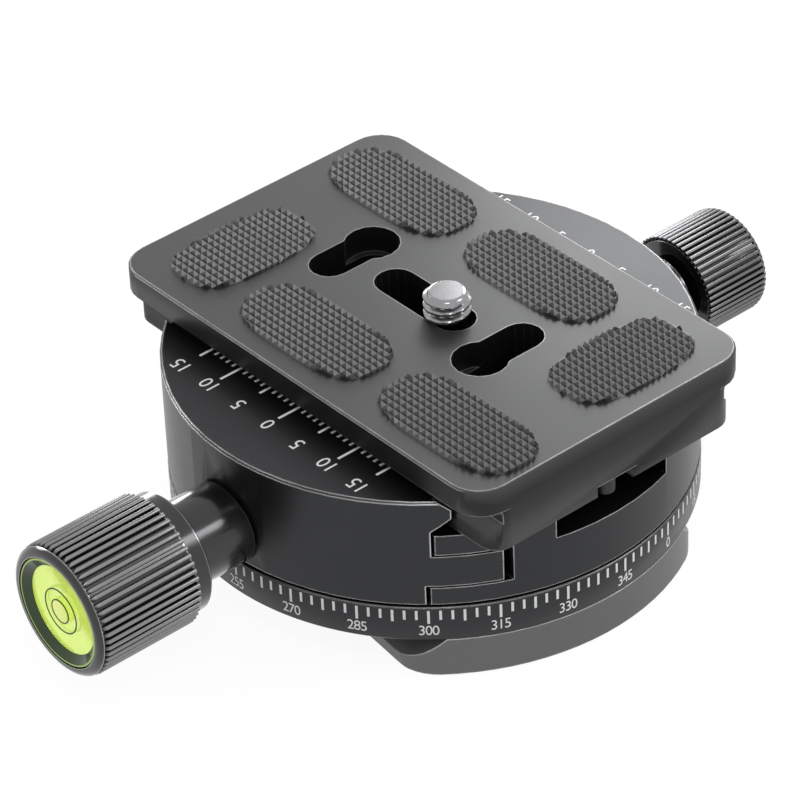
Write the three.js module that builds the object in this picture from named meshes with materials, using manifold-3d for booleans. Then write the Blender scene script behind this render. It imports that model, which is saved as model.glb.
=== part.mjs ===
// Panoramic tripod base: a levelled panning clamp that holds a quick release plate.
// Millimetres, +Z up, origin on the underside of the foot, on the pan axis.
// +X runs along the clamp channel, -Y points to the clamp knob, +Y to the pan knob.
import * as THREE from 'three';
import { mergeVertices } from 'three/addons/utils/BufferGeometryUtils.js';
import Module from 'manifold-3d';

const wasm = await Module();
wasm.setup();

// Turned body and its standing foot
const CHEEK_THICK = 14;
const EDGE_CHAMFER = 0.3;
const RING_HEIGHT = 5.35;
const RING_GAP = 0.2;
const FOOT_HEIGHT = 5.75;
const FOOT_INSET = 0.15;
const FOOT_HALF_WIDTH = 22.5;
const FOOT_CORNER = 7;
const FOOT_LIP = 1.9;
const FOOT_TURN = -6.4;

// Pan bearing
const DRUM_RADIUS = 7;
const DRUM_BORE_GAP = 0.1;
const WEB_THICK = 5.4;
const TOP_WASHER_THICK = 0.3;
const KEEPER_RADIUS = 9.5;
const KEEPER_THICK = 1.8;
const KEEPER_POCKET_GAP = 0.2;
const SPINDLE_RADIUS = 2.5;
const SPINDLE_HEAD_RADIUS = 4.2;
const SPINDLE_HEAD_HEIGHT = 3;
const SPINDLE_HEAD_CLEAR = 0.6;
const SPINDLE_DEPTH = 7.6;
const SPINDLE_HOLE_END = 8;
const SLIDE_WASHER_INNER = 20;
const SLIDE_WASHER_OUTER = 27;
const SLIDE_WASHER_SEAT = 0.6;

// Tripod side
const BUSH_RADIUS = 6.5;
const BUSH_LENGTH = 8;
const BUSH_END_GAP = 0.2;
const BUSH_BORE = 4.9;
const REDUCER_RADIUS = 4.75;
const REDUCER_BORE = 3.2;
const REDUCER_LENGTH = 7.2;
const REDUCER_SLOT_WIDTH = 1.2;
const REDUCER_SLOT_DEPTH = 1.4;
const FOOT_SCREW_X = 13;
const FOOT_SCREW_Y = 10;
const FOOT_SCREW_RADIUS = 1.5;
const FOOT_SCREW_HEAD_RADIUS = 2.75;
const FOOT_SCREW_HEAD_HEIGHT = 2;
const FOOT_SCREW_SUNK = 0.3;
const FOOT_SCREW_LENGTH = 9.2;
const HOLE_GAP = 0.1;
const FIT_GAP = 0.05;

// Clamp channel: widths from the pan axis, drops from the body's top face
const DOVETAIL_HALF_WIDTH = 18.1;
const CHANNEL_DEPTH = 5.2;
const RECESS_STEP = 0.1;
const RECESS_NEAR = 9;
const RECESS_FAR = 10;
const NOSE_TOP_REACH = 2.9;
const NOSE_TOP_DROP = 0.7;
const NOSE_FACE = 0.7;
const FIXED_FLANK_GAP = 0.1;
const FIXED_LIP_CLEAR = 1;
const TONGUE_SLOT_DEPTH = 8.3;
const TONGUE_SLOT_RISE = 3.05;
const TONGUE_SLOT_FALL = 2.1;

// The noses are eased at their ends so that a plate slides in
const LEAD_IN_LENGTH = 9.2;
const LEAD_IN_SET_BACK = 1.2;
const LEAD_IN_CHAMFER = 1.3;

// Sliding jaw
const JAW_FLANK_GAP = 0.4;
const JAW_LIP_CLEAR = 2.65;
const FINGER_GAP = 0.35;
const TONGUE_GAP = 0.25;
const TONGUE_END_GAP = 1.15;
const SKIRT_SET_BACK = 0.6;
const SKIRT_GAP = 0.45;
const GUIDE_X = 20;
const GUIDE_RADIUS = 1.2;
const GUIDE_GRIP = 9.75;
const GUIDE_SEAT = 8.5;
const GUIDE_HOLE_SPARE = 0.8;
const SPRING_HOLE_DEPTH = 5.35;
const SPRING_HOLE_RADIUS = 2;
const SPRING_MEAN_RADIUS = 1.6;
const SPRING_WIRE_RADIUS = 0.2;
const SPRING_TURNS = 5;

// Clamp drive
const CLAMP_SCREW_RADIUS = 2.95;
const CLAMP_SCREW_TIP_GAP = 0.9;
const CLAMP_SCREW_GRIP = 10.8;
const BOSS_RADIUS = 4.5;
const BOSS_GAP = 0.2;
const BOSS_WALL = 0.3;
const CLAMP_NECK_RADIUS = 5.75;
const CLAMP_NECK_LENGTH = 8.2;
const CLAMP_SPIGOT_RADIUS = 4.5;
const CLAMP_SPIGOT_LENGTH = 5.5;
const SADDLE_GAP = 0.3;
const THRUST_WASHER_THICK = 0.5;
const CLAMP_KNOB_RADIUS = 9.16;
const CLAMP_KNOB_LENGTH = 15.7;
const CLAMP_KNOB_BEVEL = 1.4;
const CLAMP_KNOB_LIP = 0.3;
const CLAMP_COLLAR_RADIUS = 8.3;
const CLAMP_COLLAR_LENGTH = 2.5;
const CLAMP_RIBS = 54;
const RIB_DEPTH = 0.5;
const KNOB_CHAMFER = 0.35;

// Bubble level in the clamp knob
const LEVEL_RADIUS = 7.5;
const LEVEL_SET_BACK = 0.1;
const LEVEL_DEPTH = 4.2;
const LEVEL_WALL = 0.75;
const LEVEL_FLOOR = 0.9;
const LEVEL_CAP_THICK = 0.8;
const LEVEL_RIM = 0.3;
const LEVEL_POCKET_GAP = 0.1;

// Pan lock
const PAN_SCREW_RADIUS = 1.95;
const PAN_SCREW_GRIP = 7.8;
const PAN_TIP_RADIUS = 1.4;
const PAN_TIP_LENGTH = 1.6;
const PAN_NECK_RADIUS = 5.4;
const PAN_NECK_LENGTH = 6.8;
const PAN_SPIGOT_RADIUS = 2.8;
const PAN_SPIGOT_LENGTH = 5;
const PAN_KNOB_RADIUS = 7.6;
const PAN_KNOB_LENGTH = 11.1;
const PAN_KNOB_GAP = 1.4;
const PAN_KNOB_ROUND = 0.9;
const PAN_RIBS = 52;
const SHOE_HALF_WIDTH = 3.4;
const SHOE_HALF_HEIGHT = 2;
const SHOE_BACK = 13;
const SHOE_CLEAR = 0.3;
const SHOE_POCKET_GAP = 0.2;
const SHOE_POCKET_BACK = 16;

// Quick release plate, heights measured from the body's top face
const PLATE_CENTRE_X = -0.4;
const PLATE_HALF_LENGTH = 35.6;
const PLATE_CORNER = 4.7;
const PLATE_RISE = 5.3;
const PLATE_CHAMFER = 0.25;
const PLATE_TOE = 0.6;
const FLANGE_REACH = 4.5;
const FLANGE_RISE = 1.4;
const FLANGE_BREAK = 0.3;
const LIP_CORNER = 2.8;
const LIP_TOP_DROP = 2.4;
const GROOVE_DROP = 0.7;
const GROOVE_ROUND = 0.8;
const SLOT_CENTRE_X = -1.1;
const SLOT_CENTRE_Y = 0.3;
const SLOT_HALF_WIDTH = 2.85;
const CENTRE_SLOT_HALF_LENGTH = 8.6;
const SIDE_SLOT_OFFSET = 14.6;
const SIDE_SLOT_HALF_LENGTH = 6.5;
const LOBE_RADIUS = 3.75;
const LOBE_OFFSET = 3.55;
const LOBE_DEPTH = 3.9;
const HEAD_CHANNEL_DEPTH = 3.8;
const STOP_GROOVE_HALF_WIDTH = 3.3;
const STOP_GROOVE_DEPTH = 2.1;
const STOP_GROOVE_LENGTH = 7;
const STOP_INSET = 2.2;
const STOP_RADIUS = 0.9;
const STOP_HEAD_RADIUS = 1.3;
const STOP_HEAD_HEIGHT = 3.1;
const STOP_SHANK = 2.4;

// Rubber pads: half width, corner sharpness, margins to the plate's edges and to each other
const PAD_SHORT = 5.55;
const PAD_SQUARENESS = 3;
const PAD_POCKET_DEPTH = 0.6;
const PAD_RISE = 0.55;
const PAD_GAP = 0.1;
const PAD_END_MARGIN = 3.85;
const PAD_END_INSET = 4.1;
const PAD_END_PAST = 0.6;
const PAD_SIDE_MARGIN = 2;
const PAD_SIDE_INSET = 3.25;
const PAD_ROW_GAP = 3.65;
const PAD_PAIR_GAP = 3.8;

// Camera screw, 1/4 inch
const CAMERA_SCREW_X = 3.25;
const CAMERA_THREAD_RADIUS = 3.12;
const CAMERA_THREAD_ROOT = 2.62;
const CAMERA_THREAD_PITCH = 1.27;
const CAMERA_THREAD_TOP = 8.95;
const CAMERA_THREAD_START = 0.1;
const CAMERA_THREAD_TURNS = 2;
const CAMERA_TIP_CHAMFER = 0.9;
const CAMERA_SHANK_RADIUS = 2.45;
const CAMERA_HEAD_RADIUS = 4.8;
const CAMERA_HEAD_HEIGHT = 2.6;
const CAMERA_HEAD_GAP = 0.2;
const CAMERA_WASHER_THICK = 0.4;
const CAMERA_COIN_SLOT_WIDTH = 1.4;
const CAMERA_COIN_SLOT_DEPTH = 1.3;

// Cuts run past the faces that they open by this much
const OVERRUN = 2;
const MERGE_TOLERANCE = 0.0001;

const ROUND_FINE = 64;
const ROUND_MEDIUM = 32;
const ROUND_SMALL = 16;
const CORNER_STEPS = 6;
const END_STEPS = 8;
const FOOT_SIDE_STEPS = 18;
const PAD_STEPS = 28;
const SPRING_STEPS = 8;
const BEVEL_STEPS = 3;
const WIRE_SIDES = 5;

// Sizes worked out from the driving sizes: the plate and the channel that grips it
const GROOVE_HALF_WIDTH = DOVETAIL_HALF_WIDTH + GROOVE_DROP;
const LIP_HALF_WIDTH = DOVETAIL_HALF_WIDTH + LIP_TOP_DROP;
const PLATE_HALF_WIDTH = GROOVE_HALF_WIDTH + FLANGE_REACH;
const NOSE_TOP = DOVETAIL_HALF_WIDTH + NOSE_TOP_REACH;
const NOSE_FACE_DROP = NOSE_TOP_DROP + NOSE_FACE;
const FIXED_NOSE = DOVETAIL_HALF_WIDTH + NOSE_FACE_DROP + FIXED_FLANK_GAP;
const FIXED_WALL = LIP_HALF_WIDTH + FIXED_LIP_CLEAR;
const JAW_NOSE = DOVETAIL_HALF_WIDTH + NOSE_FACE_DROP + JAW_FLANK_GAP;
const JAW_WALL = LIP_HALF_WIDTH + JAW_LIP_CLEAR;
const UPPER_FINGER_END = JAW_WALL - FINGER_GAP;
const TONGUE_SLOT_END = UPPER_FINGER_END - TONGUE_SLOT_DEPTH;
const TONGUE_END = TONGUE_SLOT_END + TONGUE_END_GAP;
const JAW_SKIRT_WALL = JAW_WALL + SKIRT_SET_BACK;
const LOWER_FINGER_END = JAW_SKIRT_WALL - SKIRT_GAP;
const GUIDE_NEAR_END = TONGUE_END + GUIDE_GRIP;
const GUIDE_FAR_END = TONGUE_SLOT_END - GUIDE_SEAT;
const SPRING_SEAT = TONGUE_END + SPRING_HOLE_DEPTH;
const BODY_RADIUS = NOSE_TOP + CHEEK_THICK;
const FOOT_RADIUS = BODY_RADIUS - FOOT_INSET;
const BUSH_POCKET = BUSH_LENGTH + BUSH_END_GAP;

// Reaches of the two drives along Y, counted from the pan axis
const CLAMP_SCREW_TIP = KEEPER_RADIUS + KEEPER_POCKET_GAP + CLAMP_SCREW_TIP_GAP;
const CLAMP_NECK_END = BODY_RADIUS + CLAMP_NECK_LENGTH;
const CLAMP_COLLAR_BACK = CLAMP_NECK_END + THRUST_WASHER_THICK;
const CLAMP_SCREW_HEAD_END = CLAMP_COLLAR_BACK + CLAMP_SCREW_GRIP;
const CLAMP_KNOB_BACK = CLAMP_COLLAR_BACK + CLAMP_COLLAR_LENGTH;
const CLAMP_KNOB_FACE = CLAMP_KNOB_BACK + CLAMP_KNOB_LENGTH;
const PAN_NECK_END = BODY_RADIUS + PAN_NECK_LENGTH;
const PAN_KNOB_BACK = PAN_NECK_END + PAN_KNOB_GAP;
const PAN_SCREW_HEAD_END = PAN_KNOB_BACK + PAN_SCREW_GRIP;
const PAN_KNOB_FACE = PAN_KNOB_BACK + PAN_KNOB_LENGTH;

// Heights
const RING_TOP = FOOT_HEIGHT + RING_HEIGHT;
const BODY_BOTTOM = RING_TOP + RING_GAP;
const WEB_TOP = BODY_BOTTOM + WEB_THICK;
const KEEPER_BOTTOM = WEB_TOP + TOP_WASHER_THICK;
const KEEPER_TOP = KEEPER_BOTTOM + KEEPER_THICK;
const RECESS_FLOOR = KEEPER_TOP + RECESS_STEP;
const CHANNEL_FLOOR = KEEPER_TOP + SPINDLE_HEAD_HEIGHT + SPINDLE_HEAD_CLEAR;
const BODY_TOP = CHANNEL_FLOOR + CHANNEL_DEPTH;
const CLAMP_AXIS = BODY_BOTTOM + BOSS_RADIUS + BOSS_GAP + BOSS_WALL;
const PAN_AXIS = WEB_TOP - SHOE_HALF_HEIGHT - SHOE_POCKET_GAP;
const UPPER_FINGER_DROP = BODY_TOP - CLAMP_AXIS - TONGUE_SLOT_RISE;
const TONGUE_SLOT_DROP = BODY_TOP - CLAMP_AXIS + TONGUE_SLOT_FALL;
const TONGUE_TOP_DROP = UPPER_FINGER_DROP + TONGUE_GAP;
const TONGUE_BOTTOM_DROP = TONGUE_SLOT_DROP - TONGUE_GAP;
const GUIDE_AXIS = BODY_TOP - (TONGUE_TOP_DROP + TONGUE_BOTTOM_DROP) / 2;
const PLATE_BOTTOM = CHANNEL_FLOOR;
const PLATE_TOP = BODY_TOP + PLATE_RISE;
const PLATE_LEDGE = PLATE_BOTTOM + HEAD_CHANNEL_DEPTH;

// Places on the plate
const STOP_REACH = PLATE_HALF_LENGTH - STOP_INSET;
const PAD_END_X = PLATE_HALF_LENGTH - PAD_END_MARGIN - PAD_SHORT;
const PAD_END_Y = (PLATE_HALF_WIDTH - PAD_END_INSET - PAD_END_PAST) / 2;
const PAD_END_LONG = (PLATE_HALF_WIDTH - PAD_END_INSET + PAD_END_PAST) / 2;
const PAD_ROW_MARGINS = PAD_END_MARGIN + PAD_ROW_GAP + PAD_PAIR_GAP + PAD_SIDE_MARGIN;
const PAD_LONG = (2 * (PLATE_HALF_LENGTH - PAD_SHORT) - PAD_ROW_MARGINS) / 4;
const PAD_SIDE_OUTER_X = PLATE_HALF_LENGTH - PAD_SIDE_MARGIN - PAD_LONG;
const PAD_SIDE_INNER_X = PAD_END_X - PAD_SHORT - PAD_ROW_GAP - PAD_LONG;
const PAD_SIDE_Y = PLATE_HALF_WIDTH - PAD_SIDE_INSET - PAD_SHORT;

// Materials
function metal(color, roughness) {
  return new THREE.MeshStandardMaterial({ color, roughness, metalness: 0.9 });
}

function plain(color, roughness) {
  return new THREE.MeshStandardMaterial({ color, roughness, metalness: 0 });
}

const anodised = () => metal(0x3b3c3d, 0.45);
const anodisedPlate = () => metal(0x545656, 0.5);
const steel = () => metal(0xb9bcc0, 0.25);
const blackSteel = () => metal(0x3a3a3b, 0.35);
const brass = () => metal(0xb08d4a, 0.35);
const nylon = () => plain(0xe8e6df, 0.6);
const rubber = () => plain(0x2a2b2b, 0.85);

const group = new THREE.Group();
group.name = 'panoramic_tripod_base';

function addPart(name, geometry, material) {
  const mesh = new THREE.Mesh(geometry, material);
  mesh.name = name;
  group.add(mesh);
  return mesh;
}

// Solids for joining and cutting
function toSolid(geometry, matrix) {
  const copy = geometry.clone();
  if (matrix) {
    copy.applyMatrix4(matrix);
  }
  copy.deleteAttribute('normal');
  copy.deleteAttribute('uv');
  const merged = mergeVertices(copy, MERGE_TOLERANCE);
  return new wasm.Manifold(new wasm.Mesh({
    numProp: 3,
    vertProperties: new Float32Array(merged.attributes.position.array),
    triVerts: new Uint32Array(merged.index.array),
  }));
}

function toGeometry(solid) {
  const mesh = solid.getMesh();
  const geometry = new THREE.BufferGeometry();
  geometry.setAttribute('position', new THREE.BufferAttribute(new Float32Array(mesh.vertProperties), 3));
  geometry.setIndex(Array.from(mesh.triVerts));
  geometry.computeVertexNormals();
  return geometry;
}

function cut(solid, ...tools) {
  return tools.reduce((left, tool) => left.subtract(tool), solid);
}

function join(solid, ...others) {
  return others.reduce((sum, other) => sum.add(other), solid);
}

const shift = (x, y, z) => new THREE.Matrix4().makeTranslation(x, y, z);

// A turned form: profile points are [radius, height], closed on the axis or on themselves
function turned(profile, segments) {
  const points = profile.map(([radius, height]) => new THREE.Vector2(radius, height));
  const first = profile[0];
  const last = profile[profile.length - 1];
  if (first[0] > 0 || last[0] > 0) {
    points.push(points[0].clone());
  }
  const geometry = new THREE.LatheGeometry(points, segments);
  geometry.rotateX(Math.PI / 2);
  return geometry;
}

// The lathe turns about Y; after rotateX the height runs along +Z
function turnedSolid(profile, segments, matrix) {
  return toSolid(turned(profile, segments), matrix);
}

function diskSolid(radius, bottom, top, segments, x = 0, y = 0) {
  return turnedSolid([[0, bottom], [radius, bottom], [radius, top], [0, top]], segments, shift(x, y, 0));
}

// A turned form whose axis lies along Y at the height axisZ; heights of the profile become Y
function turnedAlongY(profile, segments, axisZ, x = 0) {
  const geometry = turned(profile, segments);
  geometry.rotateX(-Math.PI / 2);
  geometry.translate(x, 0, axisZ);
  return geometry;
}

function rodAlongY(radius, from, to, segments, axisZ, x = 0) {
  const profile = [[0, from], [radius, from], [radius, to], [0, to]];
  return toSolid(turnedAlongY(profile, segments, axisZ, x));
}

// An outline in the YZ plane, given as [y, z], run along X between from and to
function prismAlongX(outline, from, to) {
  const shape = new THREE.Shape(outline.map(([y, z]) => new THREE.Vector2(y, z)));
  const geometry = new THREE.ExtrudeGeometry(shape, { depth: to - from, bevelEnabled: false });
  geometry.applyMatrix4(new THREE.Matrix4().set(
    0, 0, 1, from,
    1, 0, 0, 0,
    0, 1, 0, 0,
    0, 0, 0, 1,
  ));
  return toSolid(geometry);
}

// A flat outline in the XY plane, run up along Z
function prismAlongZ(points, bottom, top) {
  const shape = new THREE.Shape(points.map(([x, y]) => new THREE.Vector2(x, y)));
  const geometry = new THREE.ExtrudeGeometry(shape, { depth: top - bottom, bevelEnabled: false });
  geometry.translate(0, 0, bottom);
  return toSolid(geometry);
}

function box(fromX, toX, fromY, toY, fromZ, toZ) {
  return prismAlongZ([[fromX, fromY], [toX, fromY], [toX, toY], [fromX, toY]], fromZ, toZ);
}

function arc(centreX, centreY, radius, fromAngle, toAngle, steps) {
  return Array.from({ length: steps + 1 }, (_, i) => {
    const angle = fromAngle + ((toAngle - fromAngle) * i) / steps;
    return [centreX + radius * Math.cos(angle), centreY + radius * Math.sin(angle)];
  });
}

// A slot with round ends; alongY turns it a quarter
function slotOutline(centreX, centreY, halfLength, halfWidth, alongY) {
  const straight = halfLength - halfWidth;
  const ends = [
    ...arc(straight, 0, halfWidth, -Math.PI / 2, Math.PI / 2, END_STEPS),
    ...arc(-straight, 0, halfWidth, Math.PI / 2, (3 * Math.PI) / 2, END_STEPS),
  ];
  return ends.map(([x, y]) => (alongY ? [centreX - y, centreY + x] : [centreX + x, centreY + y]));
}

// A skin over rings that all have the same number of points, closed at both ends
function loftSolid(rings, matrix) {
  const count = rings[0].length;
  const positions = rings.flat().flat();
  const index = [];
  for (let ring = 0; ring < rings.length - 1; ring += 1) {
    for (let i = 0; i < count; i += 1) {
      const next = (i + 1) % count;
      const low = ring * count;
      const high = low + count;
      index.push(low + i, low + next, high + next);
      index.push(low + i, high + next, high + i);
    }
  }
  const addCap = (ring, up) => {
    const points = rings[ring];
    const centre = points.reduce((sum, p) => sum.map((v, k) => v + p[k] / count), [0, 0, 0]);
    const centreIndex = positions.length / 3;
    positions.push(...centre);
    for (let i = 0; i < count; i += 1) {
      const a = ring * count + i;
      const b = ring * count + ((i + 1) % count);
      index.push(...(up ? [centreIndex, a, b] : [centreIndex, b, a]));
    }
  };
  addCap(0, false);
  addCap(rings.length - 1, true);
  const geometry = new THREE.BufferGeometry();
  geometry.setAttribute('position', new THREE.BufferAttribute(new Float32Array(positions), 3));
  geometry.setIndex(index);
  return toSolid(geometry, matrix);
}

// The round body with its broken edges, before the channel splits it
function bodyBlank() {
  return turnedSolid([
    [0, BODY_BOTTOM],
    [BODY_RADIUS - EDGE_CHAMFER, BODY_BOTTOM],
    [BODY_RADIUS, BODY_BOTTOM + EDGE_CHAMFER],
    [BODY_RADIUS, BODY_TOP - EDGE_CHAMFER],
    [BODY_RADIUS - EDGE_CHAMFER, BODY_TOP],
    [0, BODY_TOP],
  ], ROUND_FINE);
}

const past = BODY_RADIUS + OVERRUN;
const down = (drop) => BODY_TOP - drop;

// Everything of the blank that the fixed half leaves open: channel, jaw seat and tongue slot
function channelCut() {
  return prismAlongX([
    [NOSE_TOP, BODY_TOP + OVERRUN],
    [NOSE_TOP, BODY_TOP],
    [FIXED_NOSE, down(NOSE_TOP_DROP)],
    [FIXED_NOSE, down(NOSE_FACE_DROP)],
    [FIXED_WALL, down(NOSE_FACE_DROP + FIXED_WALL - FIXED_NOSE)],
    [FIXED_WALL, CHANNEL_FLOOR],
    [-UPPER_FINGER_END, CHANNEL_FLOOR],
    [-UPPER_FINGER_END, down(UPPER_FINGER_DROP)],
    [-TONGUE_SLOT_END, down(UPPER_FINGER_DROP)],
    [-TONGUE_SLOT_END, down(TONGUE_SLOT_DROP)],
    [-LOWER_FINGER_END, down(TONGUE_SLOT_DROP)],
    [-LOWER_FINGER_END, BODY_BOTTOM - OVERRUN],
    [-past, BODY_BOTTOM - OVERRUN],
    [-past, BODY_TOP + OVERRUN],
  ].reverse(), -past, past);
}

function jawSection() {
  return prismAlongX([
    [-past, BODY_TOP + OVERRUN],
    [-past, BODY_BOTTOM - OVERRUN],
    [-JAW_SKIRT_WALL, BODY_BOTTOM - OVERRUN],
    [-JAW_SKIRT_WALL, down(TONGUE_BOTTOM_DROP)],
    [-TONGUE_END, down(TONGUE_BOTTOM_DROP)],
    [-TONGUE_END, down(TONGUE_TOP_DROP)],
    [-JAW_WALL, down(TONGUE_TOP_DROP)],
    [-JAW_WALL, down(NOSE_FACE_DROP + JAW_WALL - JAW_NOSE)],
    [-JAW_NOSE, down(NOSE_FACE_DROP)],
    [-JAW_NOSE, down(NOSE_TOP_DROP)],
    [-NOSE_TOP, BODY_TOP],
    [-NOSE_TOP, BODY_TOP + OVERRUN],
  ], -past, past);
}

// What eases one nose at its two ends: a face set back from the nose, chamfered above
function leadIns(side, nose) {
  const face = nose + LEAD_IN_SET_BACK;
  const under = down(NOSE_FACE_DROP + LEAD_IN_SET_BACK + FIT_GAP);
  const outline = [
    [nose - OVERRUN, BODY_TOP + OVERRUN],
    [nose - OVERRUN, under],
    [face, under],
    [face, down(LEAD_IN_CHAMFER)],
    [face + LEAD_IN_CHAMFER, BODY_TOP],
    [face + LEAD_IN_CHAMFER, BODY_TOP + OVERRUN],
  ].map(([y, z]) => [side * y, z]);
  const inner = BODY_RADIUS - LEAD_IN_LENGTH;
  return [[-past, -inner], [inner, past]].map(([from, to]) => prismAlongX(outline, from, to));
}

function clampBody() {
  const guideHoles = [-GUIDE_X, GUIDE_X].map((x) => rodAlongY(
    GUIDE_RADIUS + FIT_GAP,
    -TONGUE_SLOT_END - OVERRUN,
    -GUIDE_FAR_END,
    ROUND_SMALL,
    GUIDE_AXIS,
    x,
  ));
  const shoePocket = box(
    -SHOE_HALF_WIDTH - SHOE_POCKET_GAP,
    SHOE_HALF_WIDTH + SHOE_POCKET_GAP,
    0,
    SHOE_POCKET_BACK,
    PAN_AXIS - SHOE_HALF_HEIGHT - SHOE_POCKET_GAP,
    PAN_AXIS + SHOE_HALF_HEIGHT + SHOE_POCKET_GAP,
  );
  return cut(
    bodyBlank(),
    channelCut(),
    box(-past, past, -RECESS_NEAR, RECESS_FAR, RECESS_FLOOR, CHANNEL_FLOOR + OVERRUN),
    diskSolid(DRUM_RADIUS + DRUM_BORE_GAP, BODY_BOTTOM - OVERRUN, BODY_TOP, ROUND_MEDIUM),
    diskSolid(KEEPER_RADIUS + KEEPER_POCKET_GAP, WEB_TOP, BODY_TOP, ROUND_MEDIUM),
    rodAlongY(BOSS_RADIUS + BOSS_GAP, -past, -TONGUE_SLOT_END, ROUND_MEDIUM, CLAMP_AXIS),
    rodAlongY(CLAMP_SCREW_RADIUS + HOLE_GAP, -past, 0, ROUND_SMALL, CLAMP_AXIS),
    shoePocket,
    rodAlongY(PAN_SCREW_RADIUS + HOLE_GAP, 0, past, ROUND_SMALL, PAN_AXIS),
    rodAlongY(PAN_SPIGOT_RADIUS + FIT_GAP, BODY_RADIUS - PAN_SPIGOT_LENGTH, past, ROUND_MEDIUM, PAN_AXIS),
    ...leadIns(1, FIXED_NOSE),
    ...guideHoles,
  );
}

function clampJaw() {
  const boss = rodAlongY(BOSS_RADIUS, -BODY_RADIUS + OVERRUN, -TONGUE_END, ROUND_MEDIUM, CLAMP_AXIS);
  const guideHoles = [-GUIDE_X, GUIDE_X].flatMap((x) => [
    rodAlongY(
      GUIDE_RADIUS + HOLE_GAP,
      -GUIDE_NEAR_END - GUIDE_HOLE_SPARE,
      -TONGUE_END + OVERRUN,
      ROUND_SMALL,
      GUIDE_AXIS,
      x,
    ),
    rodAlongY(SPRING_HOLE_RADIUS, -SPRING_SEAT, -TONGUE_END + OVERRUN, ROUND_SMALL, GUIDE_AXIS, x),
  ]);
  return cut(
    join(bodyBlank().intersect(jawSection()), boss),
    rodAlongY(
      CLAMP_SPIGOT_RADIUS + FIT_GAP,
      -past,
      -BODY_RADIUS + CLAMP_SPIGOT_LENGTH,
      ROUND_MEDIUM,
      CLAMP_AXIS,
    ),
    rodAlongY(CLAMP_SCREW_RADIUS + HOLE_GAP, -past, 0, ROUND_SMALL, CLAMP_AXIS),
    ...leadIns(-1, JAW_NOSE),
    ...guideHoles,
  );
}

// The foot: a disc cut by two dovetail flats, its corners rounded
function footOutline() {
  const cornerY = FOOT_HALF_WIDTH - FOOT_CORNER;
  const cornerX = Math.sqrt((FOOT_RADIUS - FOOT_CORNER) ** 2 - cornerY ** 2);
  const cornerAngle = Math.atan2(cornerY, cornerX);
  const right = [
    ...arc(cornerX, -cornerY, FOOT_CORNER, -Math.PI / 2, -cornerAngle, CORNER_STEPS),
    ...arc(0, 0, FOOT_RADIUS, -cornerAngle, cornerAngle, FOOT_SIDE_STEPS),
    ...arc(cornerX, cornerY, FOOT_CORNER, cornerAngle, Math.PI / 2, CORNER_STEPS),
  ];
  const apart = ([x, y], i) => i === 0
    || Math.hypot(x - right[i - 1][0], y - right[i - 1][1]) > MERGE_TOLERANCE;
  const unique = right.filter(apart);
  return [...unique, ...unique.map(([x, y]) => [-x, -y])];
}

function baseFoot() {
  const slope = FOOT_HEIGHT - FOOT_LIP;
  const flats = prismAlongX([
    [-FOOT_HALF_WIDTH + EDGE_CHAMFER, 0],
    [FOOT_HALF_WIDTH - EDGE_CHAMFER, 0],
    [FOOT_HALF_WIDTH, EDGE_CHAMFER],
    [FOOT_HALF_WIDTH, FOOT_LIP],
    [FOOT_HALF_WIDTH - slope, FOOT_HEIGHT],
    [-FOOT_HALF_WIDTH + slope, FOOT_HEIGHT],
    [-FOOT_HALF_WIDTH, FOOT_LIP],
    [-FOOT_HALF_WIDTH, EDGE_CHAMFER],
  ], -past, past);
  const bores = footScrewPlaces().flatMap(([x, y]) => [
    diskSolid(FOOT_SCREW_RADIUS + HOLE_GAP, -OVERRUN, FOOT_HEIGHT + OVERRUN, ROUND_SMALL, x, y),
    diskSolid(
      FOOT_SCREW_HEAD_RADIUS + HOLE_GAP,
      -OVERRUN,
      FOOT_SCREW_SUNK + FOOT_SCREW_HEAD_HEIGHT,
      ROUND_SMALL,
      x,
      y,
    ),
  ]);
  return cut(
    prismAlongZ(footOutline(), 0, FOOT_HEIGHT).intersect(flats),
    diskSolid(BUSH_RADIUS + FIT_GAP, -OVERRUN, FOOT_HEIGHT + OVERRUN, ROUND_MEDIUM),
    ...bores,
  );
}

function footScrewPlaces() {
  return [-1, 1].flatMap((sideX) => [-1, 1].map((sideY) => [sideX * FOOT_SCREW_X, sideY * FOOT_SCREW_Y]));
}

// The standing disc that carries the degree scale
function degreeRing() {
  const blank = turnedSolid([
    [0, BUSH_POCKET],
    [BUSH_RADIUS + FIT_GAP, BUSH_POCKET],
    [BUSH_RADIUS + FIT_GAP, FOOT_HEIGHT],
    [BODY_RADIUS - EDGE_CHAMFER, FOOT_HEIGHT],
    [BODY_RADIUS, FOOT_HEIGHT + EDGE_CHAMFER],
    [BODY_RADIUS, RING_TOP - EDGE_CHAMFER],
    [BODY_RADIUS - EDGE_CHAMFER, RING_TOP],
    [SLIDE_WASHER_OUTER + FIT_GAP, RING_TOP],
    [SLIDE_WASHER_OUTER + FIT_GAP, RING_TOP - SLIDE_WASHER_SEAT],
    [SLIDE_WASHER_INNER - FIT_GAP, RING_TOP - SLIDE_WASHER_SEAT],
    [SLIDE_WASHER_INNER - FIT_GAP, RING_TOP],
    [SPINDLE_RADIUS + FIT_GAP, RING_TOP],
    [SPINDLE_RADIUS + FIT_GAP, KEEPER_BOTTOM - SPINDLE_HOLE_END],
    [0, KEEPER_BOTTOM - SPINDLE_HOLE_END],
  ], ROUND_FINE);
  const bores = footScrewPlaces().map(([x, y]) => diskSolid(
    FOOT_SCREW_RADIUS + FIT_GAP,
    FOOT_HEIGHT - OVERRUN,
    FOOT_SCREW_LENGTH + HOLE_GAP,
    ROUND_SMALL,
    x,
    y,
  ));
  return cut(blank, ...bores);
}

function washer(inner, outer, bottom, top, segments) {
  return turned([[inner, bottom], [outer, bottom], [outer, top], [inner, top]], segments);
}

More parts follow.
